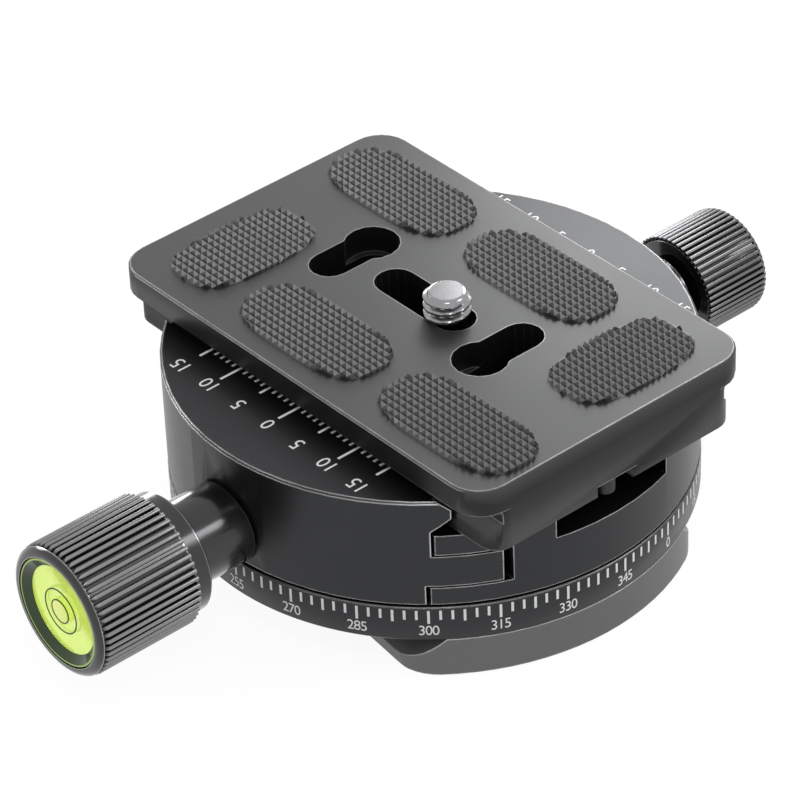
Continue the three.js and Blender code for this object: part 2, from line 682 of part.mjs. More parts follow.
function tripodSide() {
  const footTurn = THREE.MathUtils.degToRad(FOOT_TURN);
  addPart('base_foot', toGeometry(baseFoot()), anodised()).rotation.z = footTurn;
  addPart('degree_ring', toGeometry(degreeRing()), anodised()).rotation.z = footTurn;
  addPart('tripod_bush', washer(BUSH_BORE, BUSH_RADIUS, 0, BUSH_LENGTH, ROUND_MEDIUM), steel());
  const slotReach = REDUCER_RADIUS + OVERRUN;
  const reducer = cut(
    toSolid(washer(REDUCER_BORE, REDUCER_RADIUS, 0, REDUCER_LENGTH, ROUND_SMALL)),
    box(
      -slotReach,
      slotReach,
      -REDUCER_SLOT_WIDTH / 2,
      REDUCER_SLOT_WIDTH / 2,
      -OVERRUN,
      REDUCER_SLOT_DEPTH,
    ),
  );
  addPart('reducer_bush', toGeometry(reducer), brass());
  const headTop = FOOT_SCREW_SUNK + FOOT_SCREW_HEAD_HEIGHT;
  footScrewPlaces().forEach(([x, y], i) => {
    const screw = turned([
      [0, FOOT_SCREW_SUNK],
      [FOOT_SCREW_HEAD_RADIUS, FOOT_SCREW_SUNK],
      [FOOT_SCREW_HEAD_RADIUS, headTop],
      [FOOT_SCREW_RADIUS, headTop],
      [FOOT_SCREW_RADIUS, FOOT_SCREW_LENGTH],
      [0, FOOT_SCREW_LENGTH],
    ], ROUND_SMALL);
    const mesh = addPart(`foot_screw_${i + 1}`, screw, steel());
    mesh.position.set(x, y, 0).applyAxisAngle(new THREE.Vector3(0, 0, 1), footTurn);
    mesh.rotation.z = footTurn;
  });
}

// The body turns on the drum, which the spindle screw holds down on the ring
function panBearing() {
  const washerBottom = RING_TOP - SLIDE_WASHER_SEAT;
  addPart(
    'pan_drum',
    washer(SPINDLE_RADIUS + FIT_GAP, DRUM_RADIUS, RING_TOP, KEEPER_BOTTOM, ROUND_FINE),
    anodised(),
  );
  addPart(
    'slide_washer',
    washer(SLIDE_WASHER_INNER, SLIDE_WASHER_OUTER, washerBottom, BODY_BOTTOM, ROUND_FINE),
    nylon(),
  );
  addPart(
    'top_washer',
    washer(DRUM_RADIUS + DRUM_BORE_GAP, KEEPER_RADIUS, WEB_TOP, KEEPER_BOTTOM, ROUND_MEDIUM),
    nylon(),
  );
  addPart(
    'keeper_plate',
    washer(SPINDLE_RADIUS + HOLE_GAP, KEEPER_RADIUS, KEEPER_BOTTOM, KEEPER_TOP, ROUND_MEDIUM),
    steel(),
  );
  addPart('spindle_screw', turned([
    [0, KEEPER_BOTTOM - SPINDLE_DEPTH],
    [SPINDLE_RADIUS, KEEPER_BOTTOM - SPINDLE_DEPTH],
    [SPINDLE_RADIUS, KEEPER_TOP],
    [SPINDLE_HEAD_RADIUS, KEEPER_TOP],
    [SPINDLE_HEAD_RADIUS, KEEPER_TOP + SPINDLE_HEAD_HEIGHT],
    [0, KEEPER_TOP + SPINDLE_HEAD_HEIGHT],
  ], ROUND_SMALL), steel());
}

// A coil spring of round wire along Y, one unbroken tube
function coilSpring(fromY, toY, x, axisZ) {
  const steps = SPRING_TURNS * SPRING_STEPS;
  const rings = Array.from({ length: steps + 1 }, (_, step) => {
    const turn = (step / SPRING_STEPS) * 2 * Math.PI;
    const along = fromY + SPRING_WIRE_RADIUS
      + ((toY - fromY - 2 * SPRING_WIRE_RADIUS) * step) / steps;
    return Array.from({ length: WIRE_SIDES }, (_side, side) => {
      const angle = (side / WIRE_SIDES) * 2 * Math.PI;
      const radius = SPRING_MEAN_RADIUS + SPRING_WIRE_RADIUS * Math.cos(angle);
      return [
        x + radius * Math.cos(turn),
        along - SPRING_WIRE_RADIUS * Math.sin(angle),
        axisZ + radius * Math.sin(turn),
      ];
    });
  });
  return toGeometry(loftSolid(rings.reverse()));
}

function clampHalf() {
  addPart('clamp_body', toGeometry(clampBody()), anodised());
  addPart('clamp_jaw', toGeometry(clampJaw()), anodised());
  [-1, 1].forEach((side, i) => {
    const pin = turnedAlongY([
      [0, -GUIDE_NEAR_END],
      [GUIDE_RADIUS, -GUIDE_NEAR_END],
      [GUIDE_RADIUS, -GUIDE_FAR_END],
      [0, -GUIDE_FAR_END],
    ], ROUND_SMALL, GUIDE_AXIS, side * GUIDE_X);
    addPart(`guide_pin_${i + 1}`, pin, steel());
    addPart(
      `jaw_spring_${i + 1}`,
      coilSpring(-SPRING_SEAT, -TONGUE_SLOT_END, side * GUIDE_X, GUIDE_AXIS),
      steel(),
    );
  });
}

// A sleeve whose inner end is saddled to the round body, with a spigot that goes into it
function saddledNeck(radius, end, spigotRadius, spigotEnd, boreRadius, axisZ) {
  const side = Math.sign(end);
  const rod = (rodRadius, from, to) => rodAlongY(
    rodRadius,
    Math.min(from, to),
    Math.max(from, to),
    ROUND_MEDIUM,
    axisZ,
  );
  const saddle = diskSolid(BODY_RADIUS + SADDLE_GAP, -OVERRUN, BODY_TOP + OVERRUN, ROUND_FINE);
  const sleeve = cut(rod(radius, spigotEnd, end), saddle);
  const spigot = rod(spigotRadius, spigotEnd, end);
  return toGeometry(cut(join(sleeve, spigot), rod(boreRadius, 0, end + side * OVERRUN)));
}

// One ring of a ribbed barrel: crests and valleys by turns, at one place along the axis
function ribRing(ribs, crest, valley, along) {
  return Array.from({ length: 2 * ribs }, (_, i) => {
    const angle = (i / ribs) * Math.PI;
    const radius = i % 2 ? valley : crest;
    return [radius * Math.cos(angle), radius * Math.sin(angle), along];
  });
}

// A knob turned about Z with its face at height 0, then laid along Y with the face outward
function knobSolid(levels, ribs, faceY, axisZ, outward) {
  const rings = levels.map(([along, crest, valley]) => ribRing(ribs, crest, valley, along));
  const lay = new THREE.Matrix4().makeRotationX((outward * Math.PI) / 2);
  const place = shift(0, faceY, axisZ).multiply(lay);
  return loftSolid(rings, place);
}

function clampKnob() {
  const back = CLAMP_KNOB_FACE - CLAMP_KNOB_BACK;
  const collarBack = CLAMP_KNOB_FACE - CLAMP_COLLAR_BACK;
  const valley = CLAMP_KNOB_RADIUS - RIB_DEPTH;
  const lip = LEVEL_RADIUS + LEVEL_POCKET_GAP + CLAMP_KNOB_LIP;
  const bevel = Array.from({ length: BEVEL_STEPS + 1 }, (_, i) => {
    const angle = ((i / BEVEL_STEPS) * Math.PI) / 2;
    const crest = lip + (CLAMP_KNOB_RADIUS - lip) * Math.cos(angle);
    return [CLAMP_KNOB_BEVEL * (Math.sin(angle) - 1), crest, Math.min(crest, valley)];
  });
  const knob = knobSolid([
    [-collarBack, CLAMP_COLLAR_RADIUS, CLAMP_COLLAR_RADIUS],
    [-back, CLAMP_COLLAR_RADIUS, CLAMP_COLLAR_RADIUS],
    [-back + KNOB_CHAMFER, CLAMP_KNOB_RADIUS, valley],
    ...bevel,
  ], CLAMP_RIBS, -CLAMP_KNOB_FACE, CLAMP_AXIS, 1);
  return cut(
    knob,
    rodAlongY(
      LEVEL_RADIUS + LEVEL_POCKET_GAP,
      -CLAMP_KNOB_FACE - OVERRUN,
      -CLAMP_KNOB_FACE + LEVEL_SET_BACK + LEVEL_DEPTH,
      ROUND_MEDIUM,
      CLAMP_AXIS,
    ),
    rodAlongY(CLAMP_SCREW_RADIUS + FIT_GAP, -CLAMP_SCREW_HEAD_END, 0, ROUND_SMALL, CLAMP_AXIS),
  );
}

function bubbleLevel() {
  const front = -CLAMP_KNOB_FACE + LEVEL_SET_BACK;
  const back = front + LEVEL_DEPTH;
  const well = LEVEL_RADIUS - LEVEL_WALL;
  const floor = back - LEVEL_FLOOR;
  const capFront = front + LEVEL_RIM;
  const capBack = capFront + LEVEL_CAP_THICK;
  addPart('level_case', turnedAlongY([
    [0, back],
    [LEVEL_RADIUS, back],
    [LEVEL_RADIUS, front],
    [well, front],
    [well, floor],
    [0, floor],
  ].reverse(), ROUND_MEDIUM, CLAMP_AXIS), plain(0xa9d65a, 0.4));
  addPart('level_liquid', toGeometry(rodAlongY(
    well - FIT_GAP,
    capBack,
    floor,
    ROUND_MEDIUM,
    CLAMP_AXIS,
  )), plain(0xc8f25e, 0.2));
  addPart('level_cap', toGeometry(rodAlongY(
    well - FIT_GAP,
    capFront,
    capBack,
    ROUND_MEDIUM,
    CLAMP_AXIS,
  )), plain(0xe4f7c8, 0.1));
}

function clampDrive() {
  addPart('clamp_neck', saddledNeck(
    CLAMP_NECK_RADIUS,
    -CLAMP_NECK_END,
    CLAMP_SPIGOT_RADIUS,
    -BODY_RADIUS + CLAMP_SPIGOT_LENGTH,
    CLAMP_SCREW_RADIUS + HOLE_GAP,
    CLAMP_AXIS,
  ), anodised());
  const washerEnd = -CLAMP_NECK_END - THRUST_WASHER_THICK;
  addPart('thrust_washer', turnedAlongY([
    [CLAMP_SCREW_RADIUS + HOLE_GAP, washerEnd],
    [CLAMP_NECK_RADIUS, washerEnd],
    [CLAMP_NECK_RADIUS, -CLAMP_NECK_END],
    [CLAMP_SCREW_RADIUS + HOLE_GAP, -CLAMP_NECK_END],
  ], ROUND_MEDIUM, CLAMP_AXIS), nylon());
  addPart('clamp_screw', toGeometry(rodAlongY(
    CLAMP_SCREW_RADIUS,
    -CLAMP_SCREW_HEAD_END,
    -CLAMP_SCREW_TIP,
    ROUND_SMALL,
    CLAMP_AXIS,
  )), steel());
  addPart('clamp_knob', toGeometry(clampKnob()), anodised());
  bubbleLevel();
}

function brakeShoe() {
  const block = box(
    -SHOE_HALF_WIDTH,
    SHOE_HALF_WIDTH,
    0,
    SHOE_BACK,
    PAN_AXIS - SHOE_HALF_HEIGHT,
    PAN_AXIS + SHOE_HALF_HEIGHT,
  );
  return cut(
    block,
    diskSolid(DRUM_RADIUS + SHOE_CLEAR, 0, BODY_TOP, ROUND_FINE),
    rodAlongY(PAN_TIP_RADIUS + HOLE_GAP, SHOE_BACK - PAN_TIP_LENGTH, past, ROUND_SMALL, PAN_AXIS),
  );
}

function panKnob() {
  const back = PAN_KNOB_FACE - PAN_KNOB_BACK;
  const valley = PAN_KNOB_RADIUS - RIB_DEPTH;
  const bend = PAN_KNOB_ROUND * (1 - Math.SQRT1_2);
  const face = valley - PAN_KNOB_ROUND;
  const knob = knobSolid([
    [-back, valley, valley],
    [-back + KNOB_CHAMFER, PAN_KNOB_RADIUS, valley],
    [-PAN_KNOB_ROUND, PAN_KNOB_RADIUS, valley],
    [-bend, PAN_KNOB_RADIUS - bend, valley - bend],
    [0, face, face],
  ], PAN_RIBS, PAN_KNOB_FACE, PAN_AXIS, -1);
  return cut(
    knob,
    rodAlongY(PAN_SCREW_RADIUS + FIT_GAP, 0, PAN_SCREW_HEAD_END, ROUND_SMALL, PAN_AXIS),
  );
}

function panDrive() {
  addPart('pan_neck', saddledNeck(
    PAN_NECK_RADIUS,
    PAN_NECK_END,
    PAN_SPIGOT_RADIUS,
    BODY_RADIUS - PAN_SPIGOT_LENGTH,
    PAN_SCREW_RADIUS + HOLE_GAP,
    PAN_AXIS,
  ), anodised());
  addPart('brake_shoe', toGeometry(brakeShoe()), brass());
  addPart('pan_screw', turnedAlongY([
    [0, SHOE_BACK - PAN_TIP_LENGTH],
    [PAN_TIP_RADIUS, SHOE_BACK - PAN_TIP_LENGTH],
    [PAN_TIP_RADIUS, SHOE_BACK],
    [PAN_SCREW_RADIUS, SHOE_BACK],
    [PAN_SCREW_RADIUS, PAN_SCREW_HEAD_END],
    [0, PAN_SCREW_HEAD_END],
  ], ROUND_SMALL, PAN_AXIS), steel());
  addPart('pan_knob', toGeometry(panKnob()), anodised());
}

// One level of the plate: a rectangle with round corners
function plateRing(halfLength, halfWidth, corner, height) {
  const corners = [[1, 1], [-1, 1], [-1, -1], [1, -1]];
  return corners.flatMap(([sideX, sideY], quarter) => arc(
    sideX * (halfLength - corner),
    sideY * (halfWidth - corner),
    corner,
    (quarter * Math.PI) / 2,
    ((quarter + 1) * Math.PI) / 2,
    CORNER_STEPS,
  ).map(([x, y]) => [x, y, height]));
}

// The plate before its slots: a flange on a narrower foot, with a dovetail groove along each side
function plateBlank() {
  const place = shift(PLATE_CENTRE_X, 0, BODY_TOP);
  const layers = (rings) => loftSolid(rings.map((ring) => plateRing(...ring)), place);
  const flange = layers([
    [PLATE_HALF_LENGTH, PLATE_HALF_WIDTH - FLANGE_BREAK, PLATE_CORNER - FLANGE_BREAK, FLANGE_RISE],
    [PLATE_HALF_LENGTH, PLATE_HALF_WIDTH, PLATE_CORNER, FLANGE_RISE + FLANGE_BREAK],
    [PLATE_HALF_LENGTH, PLATE_HALF_WIDTH, PLATE_CORNER, PLATE_RISE - PLATE_CHAMFER],
    [
      PLATE_HALF_LENGTH - PLATE_CHAMFER,
      PLATE_HALF_WIDTH - PLATE_CHAMFER,
      PLATE_CORNER - PLATE_CHAMFER,
      PLATE_RISE,
    ],
  ]);
  const foot = layers([
    [
      PLATE_HALF_LENGTH - PLATE_TOE,
      LIP_HALF_WIDTH - PLATE_TOE,
      LIP_CORNER - PLATE_TOE,
      -CHANNEL_DEPTH,
    ],
    [PLATE_HALF_LENGTH, LIP_HALF_WIDTH, LIP_CORNER, PLATE_TOE - CHANNEL_DEPTH],
    [PLATE_HALF_LENGTH, LIP_HALF_WIDTH, LIP_CORNER, FLANGE_RISE + FLANGE_BREAK],
  ]);
  return cut(join(flange, foot), plateGroove(1), plateGroove(-1));
}

// The straight groove that leaves the dovetail lip, with a round root under the flange
function plateGroove(side) {
  const bend = GROOVE_ROUND * (1 - Math.SQRT1_2);
  const outline = [
    [LIP_HALF_WIDTH + OVERRUN, -LIP_TOP_DROP - OVERRUN],
    [LIP_HALF_WIDTH + OVERRUN, FLANGE_RISE],
    [GROOVE_HALF_WIDTH + GROOVE_ROUND, FLANGE_RISE],
    [GROOVE_HALF_WIDTH + bend, FLANGE_RISE - bend],
    [GROOVE_HALF_WIDTH, FLANGE_RISE - GROOVE_ROUND],
    [GROOVE_HALF_WIDTH, -GROOVE_DROP],
  ].map(([y, rise]) => [side * y, BODY_TOP + rise]);
  const end = PLATE_HALF_LENGTH + OVERRUN;
  return prismAlongX(outline, PLATE_CENTRE_X - end, PLATE_CENTRE_X + end);
}

function padOutline([centreX, centreY, halfX, halfY], grow) {
  const power = 2 / PAD_SQUARENESS;
  return Array.from({ length: PAD_STEPS }, (_, i) => {
    const angle = (i / PAD_STEPS) * 2 * Math.PI;
    const c = Math.cos(angle);
    const s = Math.sin(angle);
    return [
      centreX + (halfX + grow) * Math.sign(c) * Math.abs(c) ** power,
      centreY + (halfY + grow) * Math.sign(s) * Math.abs(s) ** power,
    ];
  });
}

function padPlaces() {
  return [
    [-PAD_END_X, -PAD_END_Y, PAD_SHORT, PAD_END_LONG],
    [-PAD_SIDE_OUTER_X, PAD_SIDE_Y, PAD_LONG, PAD_SHORT],
    [-PAD_SIDE_INNER_X, -PAD_SIDE_Y, PAD_LONG, PAD_SHORT],
    [PAD_SIDE_INNER_X, PAD_SIDE_Y, PAD_LONG, PAD_SHORT],
    [PAD_SIDE_OUTER_X, -PAD_SIDE_Y, PAD_LONG, PAD_SHORT],
    [PAD_END_X, PAD_END_Y, PAD_SHORT, PAD_END_LONG],
  ];
}

const headTravel = CENTRE_SLOT_HALF_LENGTH - SLOT_HALF_WIDTH;
const headChannelHalfWidth = CAMERA_HEAD_RADIUS + CAMERA_HEAD_GAP;

function plateSlots() {
  const below = PLATE_BOTTOM - OVERRUN;
  const above = PLATE_TOP + OVERRUN;
  const centreSlot = slotOutline(
    SLOT_CENTRE_X,
    SLOT_CENTRE_Y,
    CENTRE_SLOT_HALF_LENGTH,
    SLOT_HALF_WIDTH,
    false,
  );
  const headChannel = slotOutline(
    SLOT_CENTRE_X,
    SLOT_CENTRE_Y,
    headTravel + headChannelHalfWidth,
    headChannelHalfWidth,
    false,
  );
  const sideSlots = [-1, 1].flatMap((side) => {
    const x = SLOT_CENTRE_X + side * SIDE_SLOT_OFFSET;
    const outline = slotOutline(x, SLOT_CENTRE_Y, SIDE_SLOT_HALF_LENGTH, SLOT_HALF_WIDTH, true);
    const lobeY = SLOT_CENTRE_Y - side * LOBE_OFFSET;
    return [
      prismAlongZ(outline, below, above),
      diskSolid(LOBE_RADIUS, PLATE_TOP - LOBE_DEPTH, above, ROUND_SMALL, x, lobeY),
    ];
  });
  return [
    prismAlongZ(centreSlot, below, above),
    prismAlongZ(headChannel, below, PLATE_LEDGE),
    ...sideSlots,
  ];
}

function quickPlate() {
  const pockets = padPlaces().map((pad) => prismAlongZ(
    padOutline(pad, PAD_GAP),
    PLATE_TOP - PAD_POCKET_DEPTH,
    PLATE_TOP + OVERRUN,
  ));
  const stops = [-1, 1].flatMap((side) => {
    const inner = PLATE_CENTRE_X + side * (PLATE_HALF_LENGTH - STOP_GROOVE_LENGTH);
    const outer = PLATE_CENTRE_X + side * (PLATE_HALF_LENGTH + OVERRUN);
    const grooveTop = PLATE_BOTTOM + STOP_GROOVE_DEPTH;
    return [
      box(
        Math.min(inner, outer),
        Math.max(inner, outer),
        -STOP_GROOVE_HALF_WIDTH,
        STOP_GROOVE_HALF_WIDTH,
        PLATE_BOTTOM - OVERRUN,
        grooveTop,
      ),
      diskSolid(
        STOP_RADIUS + FIT_GAP,
        PLATE_BOTTOM,
        grooveTop + STOP_SHANK + HOLE_GAP,
        ROUND_SMALL,
        PLATE_CENTRE_X + side * STOP_REACH,
      ),
    ];
  });
  return cut(plateBlank(), ...plateSlots(), ...pockets, ...stops);
}

function plateAssembly() {
  addPart('quick_plate', toGeometry(quickPlate()), anodisedPlate());
  padPlaces().forEach((pad, i) => {
    const solid = prismAlongZ(padOutline(pad, 0), PLATE_TOP - PAD_POCKET_DEPTH, PLATE_TOP + PAD_RISE);
    addPart(`rubber_pad_${i + 1}`, toGeometry(solid), rubber());
  });
  const seat = PLATE_BOTTOM + STOP_GROOVE_DEPTH;
  [-1, 1].forEach((side, i) => {
    const screw = turned([
      [0, seat - STOP_HEAD_HEIGHT],
      [STOP_HEAD_RADIUS, seat - STOP_HEAD_HEIGHT],
      [STOP_HEAD_RADIUS, seat],
      [STOP_RADIUS, seat],
      [STOP_RADIUS, seat + STOP_SHANK],
      [0, seat + STOP_SHANK],
    ], ROUND_SMALL);
    const mesh = addPart(`stop_screw_${i + 1}`, screw, blackSteel());
    mesh.position.x = PLATE_CENTRE_X + side * STOP_REACH;
  });
}

function cameraScrew() {
  const washerBottom = PLATE_LEDGE - CAMERA_WASHER_THICK;
  const headBottom = washerBottom - CAMERA_HEAD_HEIGHT;
  const threadBottom = PLATE_TOP + CAMERA_THREAD_START;
  const threadTop = BODY_TOP + CAMERA_THREAD_TOP;
  const half = CAMERA_THREAD_PITCH / 2;
  const crests = Array.from({ length: CAMERA_THREAD_TURNS }, (_, i) => {
    const root = threadBottom + half + i * CAMERA_THREAD_PITCH;
    return [[CAMERA_THREAD_ROOT, root], [CAMERA_THREAD_RADIUS, root + half]];
  }).flat();
  const profile = [
    [0, headBottom],
    [CAMERA_HEAD_RADIUS, headBottom],
    [CAMERA_HEAD_RADIUS, washerBottom],
    [CAMERA_SHANK_RADIUS, washerBottom],
    [CAMERA_SHANK_RADIUS, threadBottom],
    [CAMERA_THREAD_RADIUS, threadBottom],
    ...crests,
    [CAMERA_THREAD_RADIUS, threadTop - CAMERA_TIP_CHAMFER],
    [CAMERA_THREAD_RADIUS - CAMERA_TIP_CHAMFER, threadTop],
    [0, threadTop],
  ];
  const reach = CAMERA_HEAD_RADIUS + OVERRUN;
  const screw = cut(
    turnedSolid(profile, ROUND_SMALL),
    box(
      -reach,
      reach,
      -CAMERA_COIN_SLOT_WIDTH / 2,
      CAMERA_COIN_SLOT_WIDTH / 2,
      headBottom - OVERRUN,
      headBottom + CAMERA_COIN_SLOT_DEPTH,
    ),
  );
  addPart('camera_screw', toGeometry(screw), steel()).position.set(CAMERA_SCREW_X, SLOT_CENTRE_Y, 0);
  const ring = washer(
    CAMERA_SHANK_RADIUS + HOLE_GAP,
    CAMERA_HEAD_RADIUS,
    washerBottom,
    PLATE_LEDGE,
    ROUND_SMALL,
  );
  addPart('camera_washer', ring, nylon()).position.set(CAMERA_SCREW_X, SLOT_CENTRE_Y, 0);
}

tripodSide();
panBearing();
clampHalf();
clampDrive();
panDrive();
plateAssembly();
cameraScrew();

export default group;
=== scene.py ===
# Panoramic tripod base: dressed model, camera and light. Metres, +Z up, in the frame of the solids.
import math

import bmesh
import bpy
from mathutils import Matrix, Vector


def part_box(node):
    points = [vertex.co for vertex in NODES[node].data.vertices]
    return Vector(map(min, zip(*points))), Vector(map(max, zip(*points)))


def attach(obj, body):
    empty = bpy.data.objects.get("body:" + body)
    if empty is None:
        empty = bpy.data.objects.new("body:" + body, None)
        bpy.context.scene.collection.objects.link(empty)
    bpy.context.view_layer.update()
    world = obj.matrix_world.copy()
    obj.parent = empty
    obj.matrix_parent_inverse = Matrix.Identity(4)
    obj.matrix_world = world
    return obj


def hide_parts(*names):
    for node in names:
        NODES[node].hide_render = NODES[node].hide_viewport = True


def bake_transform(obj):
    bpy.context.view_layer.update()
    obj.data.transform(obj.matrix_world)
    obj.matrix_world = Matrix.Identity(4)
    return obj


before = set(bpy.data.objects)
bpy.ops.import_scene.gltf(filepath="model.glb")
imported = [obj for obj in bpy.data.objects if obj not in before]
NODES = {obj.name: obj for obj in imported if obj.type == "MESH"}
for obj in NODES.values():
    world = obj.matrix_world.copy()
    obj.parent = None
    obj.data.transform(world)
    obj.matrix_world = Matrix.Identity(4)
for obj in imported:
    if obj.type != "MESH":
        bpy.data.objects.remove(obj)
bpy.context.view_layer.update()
MM = 0.001

# Heights that the solids give, and the places measured from them, in millimetres
BODY_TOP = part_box("clamp_body")[1].z / MM
PLATE_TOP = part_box("quick_plate")[1].z / MM
RING_TOP = 11.1
BODY_RADIUS = 35.0
CLAMP_AXIS = BODY_TOP - 11.3
PAN_AXIS = BODY_TOP - 13.1
FOOT_TURN = math.radians(-6.4)
ZERO_TURN = math.radians(17.5)
FILLING_THICK = 0.05


# Camera
def photo_camera():
    azimuth, elevation, roll = (math.radians(v) for v in (50.462, 36.316, -2.409))
    back = Vector((
        math.sin(azimuth) * math.cos(elevation),
        -math.cos(azimuth) * math.cos(elevation),
        math.sin(elevation),
    ))
    level = Vector((math.cos(azimuth), math.sin(azimuth), 0))
    rise = back.cross(level)
    right = math.cos(roll) * level + math.sin(roll) * rise
    up = -math.sin(roll) * level + math.cos(roll) * rise
    data = bpy.data.cameras.new("photo_camera")
    data.sensor_width = 36
    data.lens = 200.509
    data.clip_start, data.clip_end = 0.02, 20
    camera = bpy.data.objects.new("photo_camera", data)
    bpy.context.scene.collection.objects.link(camera)
    turn = Matrix((right, up, back)).transposed().to_4x4()
    target = Vector((7.569, -11.738, 27.6)) * MM
    camera.matrix_world = Matrix.Translation(target + back * 564.66 * MM) @ turn
    bpy.context.scene.camera = camera


photo_camera()


# Shader helpers
def add(tree, kind, inputs=None, **settings):
    made = tree.nodes.new(kind)
    for key, value in settings.items():
        setattr(made, key, value)
    for key, value in (inputs or {}).items():
        socket = made.inputs[key]
        if isinstance(value, bpy.types.NodeSocket):
            tree.links.new(value, socket)
        else:
            socket.default_value = value
    return made


# Up to three values put through one sum
def maths(tree, a, b, operation="ADD", c=0.0):
    return add(tree, "ShaderNodeMath", {0: a, 1: b, 2: c}, operation=operation).outputs[0]


def vector_of(tree, x=0.0, y=0.0, z=0.0):
    return add(tree, "ShaderNodeCombineXYZ", {"X": x, "Y": y, "Z": z}).outputs[0]


# 0 to 1 as a value goes from one limit to another
def share_between(tree, value, start, end):
    return add(tree, "ShaderNodeMapRange", {
        "Value": value, "From Min": start, "From Max": end}).outputs["Result"]


def shader_group(name, inputs, outputs):
    tree = bpy.data.node_groups.new(name, "ShaderNodeTree")
    for label, kind, value in inputs:
        socket = tree.interface.new_socket(name=label, in_out="INPUT", socket_type=kind)
        socket.default_value = value
    for label, kind in outputs:
        tree.interface.new_socket(name=label, in_out="OUTPUT", socket_type=kind)
    return tree, tree.nodes.new("NodeGroupInput").outputs, tree.nodes.new("NodeGroupOutput").inputs


FLOAT, COLOUR, VECTOR = "NodeSocketFloat", "NodeSocketColor", "NodeSocketVector"


# Fine tooth of a blasted and dyed skin, with a slow cloudiness in colour and gloss
def blasted_skin_group():
    tree, given, out = shader_group("blasted_skin", [
        ("Colour", COLOUR, (0.05, 0.05, 0.05, 1)),
        ("Cloudiness", FLOAT, 0.1),
        ("Gloss Change", FLOAT, 0.05),
        ("Roughness", FLOAT, 0.4),
        ("Tooth Size", FLOAT, 0.12),
    ], [("Colour", COLOUR), ("Roughness", FLOAT), ("Height", FLOAT)])
    place = add(tree, "ShaderNodeTexCoord").outputs["Object"]
    tooth = add(tree, "ShaderNodeTexNoise", {
        "Vector": place, "Scale": maths(tree, 1 / MM, given["Tooth Size"], "DIVIDE"),
        "Detail": 3.0, "Roughness": 0.6})
    cloud = add(tree, "ShaderNodeTexNoise", {
        "Vector": place, "Scale": 90.0, "Detail": 4.0, "Roughness": 0.62})
    spread = maths(tree, cloud.outputs["Fac"], 0.5, "SUBTRACT")
    shade = maths(tree, spread, given["Cloudiness"], "MULTIPLY_ADD", 1.0)
    tint = add(tree, "ShaderNodeVectorMath", {0: given["Colour"], "Scale": shade},
               operation="SCALE")
    gloss = maths(tree, spread, given["Gloss Change"], "MULTIPLY_ADD", given["Roughness"])
    tree.links.new(tint.outputs[0], out["Colour"])
    tree.links.new(gloss, out["Roughness"])
    tree.links.new(tooth.outputs["Fac"], out["Height"])
    return tree


# Painted highlight along edges, where a chamfer would catch the light: 1 on the edge, broken up by
# noise
def edge_rub_group():
    tree, given, out = shader_group("painted_edge_highlight", [
        ("Reach", FLOAT, 0.2), ("Amount", FLOAT, 0.5), ("Patchiness", FLOAT, 0.5),
    ], [("Mask", FLOAT)])
    reach = maths(tree, given["Reach"], MM, "MULTIPLY")
    rounded_off = add(tree, "ShaderNodeBevel", {"Radius": reach}, samples=4)
    flat = add(tree, "ShaderNodeNewGeometry")
    aligned = add(tree, "ShaderNodeVectorMath", {
        0: rounded_off.outputs["Normal"], 1: flat.outputs["Normal"]}, operation="DOT_PRODUCT")
    edge = share_between(tree, aligned.outputs["Value"], 0.99, 0.93)
    place = add(tree, "ShaderNodeTexCoord").outputs["Object"]
    patches = add(tree, "ShaderNodeTexNoise", {"Vector": place, "Scale": 420.0, "Detail": 5.0})
    patchy_highlight = share_between(tree, patches.outputs["Fac"], 0.36, 0.62)
    whole = maths(tree, 1.0, given["Patchiness"], "SUBTRACT")
    broken = maths(tree, patchy_highlight, given["Patchiness"], "MULTIPLY_ADD", whole)
    scaled = add(tree, "ShaderNodeMath", {
        0: maths(tree, edge, broken, "MULTIPLY"), 1: given["Amount"]},
        operation="MULTIPLY", use_clamp=True)
    tree.links.new(scaled.outputs[0], out["Mask"])
    return tree


# Fine rings left by a lathe tool round an axis along Z or Y
def turning_group():
    tree, given, out = shader_group("turning_marks", [
        ("Pitch", FLOAT, 0.25), ("Along", VECTOR, (0, 0, 1)),
    ], [("Height", FLOAT), ("Streak", FLOAT)])
    place = add(tree, "ShaderNodeTexCoord").outputs["Object"]
    along = add(tree, "ShaderNodeVectorMath", {0: place, 1: given["Along"]},
                operation="DOT_PRODUCT").outputs["Value"]
    pitch = maths(tree, given["Pitch"], MM, "MULTIPLY")
    marks = add(tree, "ShaderNodeTexNoise", {
        "W": maths(tree, along, pitch, "DIVIDE"), "Scale": 1.0, "Detail": 3.0},
        noise_dimensions="1D")
    for label in ("Height", "Streak"):
        tree.links.new(marks.outputs["Fac"], out[label])
    return tree


# 0 to 1 with the distance from an axis that runs along Y, in millimetres
def axis_distance_group():
    tree, given, out = shader_group("axis_distance", [
        ("Axis Height", FLOAT, 0.0), ("From", FLOAT, 1.0), ("To", FLOAT, 2.0),
    ], [("Mask", FLOAT)])
    place = add(tree, "ShaderNodeTexCoord").outputs["Object"]
    split = add(tree, "ShaderNodeSeparateXYZ", {"Vector": place}).outputs
    across, height = (maths(tree, split[along], MM, "DIVIDE") for along in "XZ")
    rise = maths(tree, height, given["Axis Height"], "SUBTRACT")
    distance = add(tree, "ShaderNodeVectorMath", {0: vector_of(tree, x=across, z=rise)},
                   operation="LENGTH").outputs["Value"]
    tree.links.new(share_between(tree, distance, given["From"], given["To"]), out["Mask"])
    return tree


BLASTED_SKIN = blasted_skin_group()
EDGE_HIGHLIGHT_TREE = edge_rub_group()
TURNING = turning_group()
AXIS_DISTANCE = axis_distance_group()


